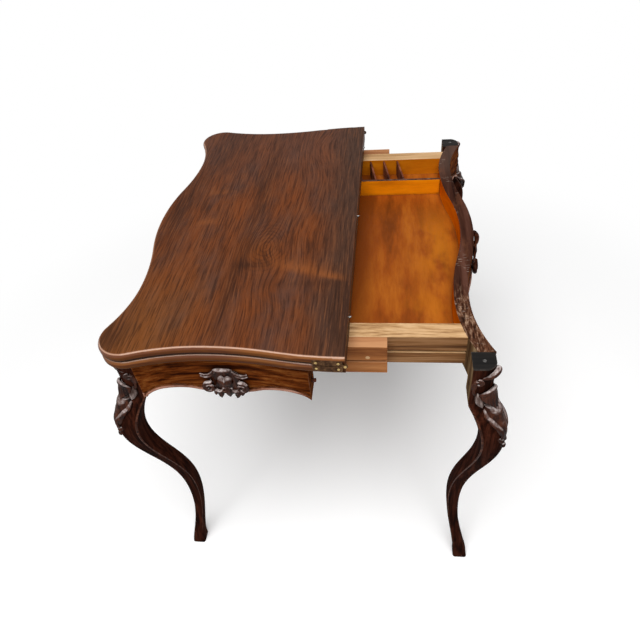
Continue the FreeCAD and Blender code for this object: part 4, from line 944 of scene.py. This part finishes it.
# carved bracket in the middle of each apron
bracketCarving = {
    "voxel": 0.0008,
    "tall": 1.1,
    "level": 0.012,  # metres above the bracket's middle where the apron's face is looked for
    # body, material, how much wider and how much deeper than drawn
    "aprons": {
        "front": ("fixed_frame", litCarving, 1.02, 1.25),
        "back": ("fixed_frame", litCarving, 1.02, 1.25),
        "left": ("fixed_frame", shadedCarving, 1.55, 1.45),
        "right": ("pull_out_frame", shadedCarving, 1.55, 1.45),
    },
    "plate": [(-34, 14), (-20, 30), (0, 34), (20, 30), (34, 14), (32, -8), (22, -22), (12, -32), (0, -36),
              (-12, -32), (-22, -22), (-32, -8)],
    "flap": [(-15, 33), (-8, 34), (8, 34), (15, 33), (12, 25), (7, 19), (0, 17), (-7, 19), (-12, 25)],
    "bossHalf": [(0, 15), (4, 18.5), (9, 19), (14, 15.5), (17, 9), (15.5, 2), (10, -3.5), (4, -5.5), (0, -6)],
    "bossCleft": (3.2, 2.4, 12),  # depth, width and the height over which it opens
    "bar": [(-17, 34, 4, 2.6), (-12, 37.5, 6.5, 3.6), (0, 39, 8, 4.2), (12, 37.5, 6.5, 3.6), (17, 34, 4, 2.6)],
    "wingUpper": [(15, 36, 5, 2.4), (22, 29, 5.5, 2.2), (30, 24, 4.5, 1.9), (38, 22.5, 3.5, 1.7), (45, 24.5, 3, 1.5)],
    "wingLower": [(17, 28, 4, 2.2), (24, 22, 5, 2.2), (32, 17.5, 4.5, 2.0), (39, 16.5, 3.5, 1.8), (45, 19, 3, 1.6)],
    "foot": [(24, -18, 5, 2.6), (17, -21, 5.5, 2.8), (11, -19, 5, 2.4), (8, -14, 4, 1.8)],
    "ringMiddle": (32, -5),
    "ring": {"reach": 12.5, "thick": 3.6, "turns": 1.45, "proud": 7.0},
    "tongue": {"spine": [(0, -6), (0, -20), (0, -42)], "width": 9.5, "fullest": 0.45, "height": 7.0, "roundness": 1.8,
               "vein": (1.6, 1.4), "ribs": (0.7, 1.5)},
    "drop": {"spine": [(12, -19), (17, -29), (16, -42)], "width": 6.0, "fullest": 0.6, "height": 7.5, "roundness": 1.8,
             "ribs": (0.8, 2.0)},
    "outerDrop": {"spine": [(19, -19), (26, -27), (27, -36)], "width": 4.5, "fullest": 0.5, "height": 5.5,
                  "roundness": 1.8},
}


def buildBracket(work, lay):
    values = bracketCarving
    addDome(work, lay, smoothRing(values["plate"]), height=3.2, roundness=3.0)
    addRoll(work, lay, values["bar"])
    addDome(work, lay, smoothRing(values["flap"]), height=6.5, roundness=1.8, rise=-3.0)
    boss = values["bossHalf"]
    deep, wide, opening = values["bossCleft"]
    addDome(work, lay, smoothRing(boss + sided(boss[-2:0:-1], -1)), height=11.0, roundness=2.4,
            grooves=lambda s, t: -deep * math.exp(-(s / wide) ** 2) * max(0.0, t / opening))
    addLeaf(work, lay, values["tongue"])
    for side in (1, -1):
        for key in ("wingUpper", "wingLower"):
            addRoll(work, lay, sided(values[key], side))
        ringMiddle = sided([values["ringMiddle"]], side)[0]
        addVolute(work, lay, ringMiddle, **values["ring"], way=-side, start=90 + 20 * side)
        addRoll(work, lay, sided(values["foot"], side))
        for key in ("drop", "outerDrop"):
            addLeaf(work, lay, values[key], side)


def bracketLay(node, apron, outward, wide, deep):
    low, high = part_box(node)
    middle = (low + high) / 2
    outward = Vector(outward)
    aside = Vector((0, 0, 1)).cross(outward)
    surface = surfaceOf(apron)
    found = {}

    def lay(side, up, proud):
        side, up, proud = side * wide, up * bracketCarving["tall"], proud * (deep if proud > 0 else 1.0)
        key = round(side * 2)
        if key not in found:
            spot = middle + aside * key * 0.5 * millimetre + outward * 0.1
            spot.z = middle.z + bracketCarving["level"]
            found[key] = surface.ray_cast(spot, -outward)[0].dot(outward)
        spot = middle + aside * side * millimetre
        spot.z = middle.z + up * millimetre
        return spot + outward * (found[key] - spot.dot(outward) + proud * millimetre)
    return lay


for way, (body, material, *shape) in bracketCarving["aprons"].items():
    node = way + "_cartouche"
    lay = bracketLay(node, way + "_apron", ways[way], *shape)
    makeCarving("carved_" + node, buildBracket, lay, node, body, material, bracketCarving["voxel"])
print("stage: apron brackets")


# carved knees: side is measured round the leg from its outer corner, up is the height above the floor
kneeCarving = {
    "voxel": 0.0008,
    "girth": 24.5,
    "legs": {
        "left_front": ("fixed_frame", (-1, -1)),
        "left_back": ("fixed_frame", (-1, 1)),
        "right_front": ("pull_out_frame", (1, -1)),
        "right_back": ("pull_out_frame", (1, 1)),
    },
    "earShare": {"fixed_frame": 0.3, "pull_out_frame": 1.0},
    # height and how far the carving stands off the leg's outer corner there
    "stand": [(672, 2.0), (664, 7.0), (656, 9.5), (648, 12.0), (640, 14.0), (632, 16.2), (624, 17.6), (614, 18.4),
              (606, 14.5), (598, 12.5), (584, 11.4), (576, 9.5), (568, 6.6), (560, 4.0), (546, 2.0)],
    "ear": [(19, 694, 0.5, 1.6), (13, 698, 2.5, 3.4), (6, 703, 4.5, 5.4), (-3, 707, 5.0, 6.4), (-9, 708, 4.5, 6.0),
            (-15, 704, 2.5, 3.6), (-21, 698, 0.5, 1.6)],
    "collar": [(-22, 645, 1, 1.6), (-18, 651, 3, 3.0), (-12, 657, 4.5, 3.8), (-5, 661, 5.5, 4.2), (0, 662, 5.8, 4.4),
               (5, 661, 5.5, 4.2), (12, 657, 4.5, 3.8), (18, 651, 3, 3.0), (22, 645, 1, 1.6)],
    "cloak": {"top": 661, "drop": 15, "half": 20, "tip": 605, "lean": -0.45, "flutes": 10, "depth": 0.9,
              "hemRise": 0.90, "hemBend": 0.9, "sideFall": 0.72},
    "boss": {"top": 622, "bottom": 545, "square": 2.2, "shoulder": 0.6,
             "halves": [(622, 16), (600, 21), (585, 19), (568, 13), (552, 6), (545, 3)]},
    "axis": -6.0,
    "voluteMiddle": (24, 684),
    "volute": {"reach": 8.0, "thick": 2.5, "turns": 1.3, "start": 90, "proud": 2.0},
    "sideLeaf": {"spine": [(28, 692), (31, 674), (28, 650)], "width": 4.0, "fullest": 0.4, "height": 4.5,
                 "roundness": 1.8, "vein": (1.2, 1.2)},
    "curl": [(27, 672, 1.0, 1.6), (30, 664, 2.5, 2.2), (28, 655, 3.0, 2.4), (25, 651, 2.0, 1.6)],
    "knob": {"spine": [(15, 616), (20, 605), (20, 592)], "width": 6.0, "fullest": 0.55, "height": 11.5,
             "roundness": 2.6, "rise": -6.0},
    "comma": [(18, 600, 9, 4.4), (15, 592, 11, 3.8), (11, 582, 10.3, 3.0), (10, 573, 8, 2.2), (11, 561, 4.5, 1.8)],
    "beads": [((0, 553), 5.2, 5.0), ((10, 552), 5.2, 5.0), ((5, 537), 5.8, 5.0)],
    "beadSides": 14,
    "beadTall": 1.25,
    "petal": {"spine": [(25, 655), (20, 641), (13, 618)], "width": 8.0, "fullest": 0.6, "height": 14.0,
              "roundness": 2.2, "rise": -10.0, "ribs": (0.9, 1.5)},
}


def alongTable(table, level):
    # straight lines between the rows of a falling table
    for (upper, first), (lower, second) in zip(table, table[1:]):
        if level >= lower:
            return first + (second - first) * (upper - min(level, upper)) / (upper - lower)
    return table[-1][1]


def addShield(work, lay, rows, columns, spotAt, sunk=-2.0):
    # a bent plate: spotAt takes -1 to 1 across and 0 to 1 down
    grid = [[], []]
    for row in range(rows + 1):
        spots = [spotAt(column / columns * 2 - 1, row / rows) for column in range(columns + 1)]
        grid[0].append([work.verts.new(lay(*spot)) for spot in spots])
        grid[1].append([work.verts.new(lay(side, up, sunk)) for side, up, proud in spots])
    for layer, turn in ((grid[0], 1), (grid[1], -1)):
        for row in range(rows):
            for column in range(columns):
                work.faces.new((layer[row][column], layer[row + 1][column], layer[row + 1][column + 1],
                                layer[row][column + 1])[::turn])
    rim = [(0, c) for c in range(columns)] + [(r, columns) for r in range(rows)]
    rim += [(rows, c) for c in range(columns, 0, -1)] + [(r, 0) for r in range(rows, 0, -1)]
    for (r1, c1), (r2, c2) in zip(rim, rim[1:] + rim[:1]):
        work.faces.new((grid[0][r1][c1], grid[0][r2][c2], grid[1][r2][c2], grid[1][r1][c1]))


def buildKnee(work, lay, earShare):
    values = kneeCarving
    addRoll(work, lay, [(side, up, proud * earShare, radius * earShare) for side, up, proud, radius in values["ear"]])
    addRoll(work, lay, values["collar"])
    cloak, boss, axis = values["cloak"], values["boss"], values["axis"]

    def cloakSpot(u, share):
        start = cloak["top"] - cloak["drop"] * u * u
        lean = (u - cloak["lean"]) / (1 + (-cloak["lean"] if u > cloak["lean"] else cloak["lean"]))
        end = cloak["tip"] + (start - cloak["tip"]) * cloak["hemRise"] * abs(lean) ** cloak["hemBend"]
        up = start + (end - start) * share
        flute = cloak["depth"] * math.cos(u * cloak["flutes"] * math.pi) * min(1, 3 * share)
        return u * cloak["half"], up, alongTable(values["stand"], up) * (1 - cloak["sideFall"] * u * u) + flute

    def bossSpot(u, share):
        up = boss["top"] + (boss["bottom"] - boss["top"]) * share
        proud = alongTable(values["stand"], up) * max(1 - abs(u) ** boss["square"], 0.0) ** boss["shoulder"]
        return axis + u * alongTable(boss["halves"], up), up, proud

    addShield(work, lay, rows=20, columns=72, spotAt=cloakSpot)
    addShield(work, lay, rows=22, columns=24, spotAt=bossSpot)
    for side in (1, -1):
        addVolute(work, lay, sided([values["voluteMiddle"]], side)[0], **values["volute"], way=side)
        addLeaf(work, lay, values["sideLeaf"], side)
        addRoll(work, lay, sided(values["curl"], side))
        addLeaf(work, lay, values["knob"], side, axis)
        addRoll(work, lay, sided(values["comma"], side, axis))
    for (aside, level), radius, height in values["beads"]:
        angles = [math.tau * k / values["beadSides"] for k in range(values["beadSides"])]
        ring = [(axis + aside + math.cos(angle) * radius, level + math.sin(angle) * radius * values["beadTall"])
                for angle in angles]
        addDome(work, lay, ring, height, roundness=2.0)


def buildPetals(work, lay):
    for side in (1, -1):
        addLeaf(work, lay, kneeCarving["petal"], side)


def kneeLay(leg, corner):
    surface = surfaceOf(leg)
    low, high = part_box(leg)
    middle = (low + high) / 2
    diagonal = Vector((*corner, 0)).normalized()
    turnWay = corner[0] * corner[1]  # keeps a positive side on the face that looks along Y
    found = {}

    def centreAt(up):
        key = round(up)
        if key not in found:
            spot = Vector((middle.x, middle.y, key * millimetre))
            hits = [surface.ray_cast(spot + diagonal * way * 0.3, -diagonal * way)[0] for way in (1, -1)]
            found[key] = (hits[0] + hits[1]) / 2
        return found[key]

    def lay(side, up, proud):
        outward = Matrix.Rotation(side / kneeCarving["girth"] * turnWay, 3, "Z") @ diagonal
        centre = centreAt(up)
        spot = Vector((centre.x, centre.y, up * millimetre))
        return surface.ray_cast(spot + outward * rayStart, -outward)[0] + outward * proud * millimetre
    return lay


for corner, (body, way) in kneeCarving["legs"].items():
    ears = kneeCarving["earShare"][body]
    lay = kneeLay(corner + "_leg", way)
    makeCarving("carved_" + corner + "_knee", lambda work, lay: buildKnee(work, lay, ears), lay, corner + "_knee_leaf",
                body, carvedMaterial, kneeCarving["voxel"])
    makeCarving("carved_" + corner + "_petals", buildPetals, lay, None, body, litPetalMaterial, kneeCarving["voxel"])
print("stage: carved knees")


# thin bead down the inner edge of each leg's two outer faces
legBead = {"top": 618, "bottom": 50, "points": 26, "turn": 84, "radius": (1.9, 0.8)}


def buildLegBeads(work, lay):
    values = legBead
    wide, narrow = values["radius"]
    around = math.radians(values["turn"]) * kneeCarving["girth"]
    for side in (1, -1):
        points = []
        for index in range(values["points"] + 1):
            share = index / values["points"]
            up = values["top"] + (values["bottom"] - values["top"]) * share
            points.append((side * around, up, 0.0, wide + (narrow - wide) * share))
        addRoll(work, lay, points, steps=2, sides=8)


for corner, (body, way) in kneeCarving["legs"].items():
    work = carve(buildLegBeads, kneeLay(corner + "_leg", way))
    beads = addPiece(corner + "_leg_beads", work, beadMaterial, body)
    beads.data.shade_smooth()
print("stage: leg beads")


# thin bead along the lower edge of each apron's show face
apronBead = {
    "radius": 2.8,
    "sunk": 0.2,
    "rise": 2.4,
    "step": 0.008,
    "endGap": 0.004,
    "faceDrop": 0.03,  # metres below the top where the face is looked for
    "inset": 0.0015,
    "endSteps": 3,  # steps over which each end tapers
    "endShare": 0.35,
    "aprons": {"front": "fixed_frame", "back": "fixed_frame", "left": "fixed_frame", "right": "pull_out_frame"},
}


def apronEdge(apron, outward):
    # the lower arris of the show face, found by looking at the apron from outside and from below
    low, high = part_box(apron)
    outward = Vector(outward)
    upward = Vector((0, 0, 1))
    aside = upward.cross(outward)
    surface = surfaceOf(apron)
    middle = (low + high) / 2
    half = abs((high - low).dot(aside)) / 2 - apronBead["endGap"]
    count = int(half * 2 / apronBead["step"])
    endShare = apronBead["endShare"]
    points = []
    for index in range(count + 1):
        spot = middle + aside * (half * 2 * index / count - half)
        faceSpot = Vector((spot.x, spot.y, high.z - apronBead["faceDrop"]))
        face = surface.ray_cast(faceSpot + outward * rayStart, -outward)[0]
        under = surface.ray_cast(Vector((face.x, face.y, low.z - rayStart)) - outward * apronBead["inset"], upward)[0]
        level = under.z + apronBead["rise"] * millimetre
        band = surface.ray_cast(Vector((spot.x, spot.y, level + millimetre)) + outward * rayStart, -outward)[0]
        point = Vector((band.x, band.y, level)) - outward * apronBead["sunk"] * millimetre
        taper = min(1.0, endShare + (1 - endShare) * min(index, count - index) / apronBead["endSteps"])
        points.append((*(point / millimetre), apronBead["radius"] * taper))
    return points


for way, body in apronBead["aprons"].items():
    edge = apronEdge(way + "_apron", ways[way])
    work = carve(lambda work, lay: addRoll(work, lay, edge, steps=2, sides=8),
                 lambda x, y, z: Vector((x, y, z)) * millimetre)
    bead = addPiece(way + "_apron_bead", work, edgeBeadMaterial, body)
    bead.data.shade_smooth()
print("stage: apron beads")
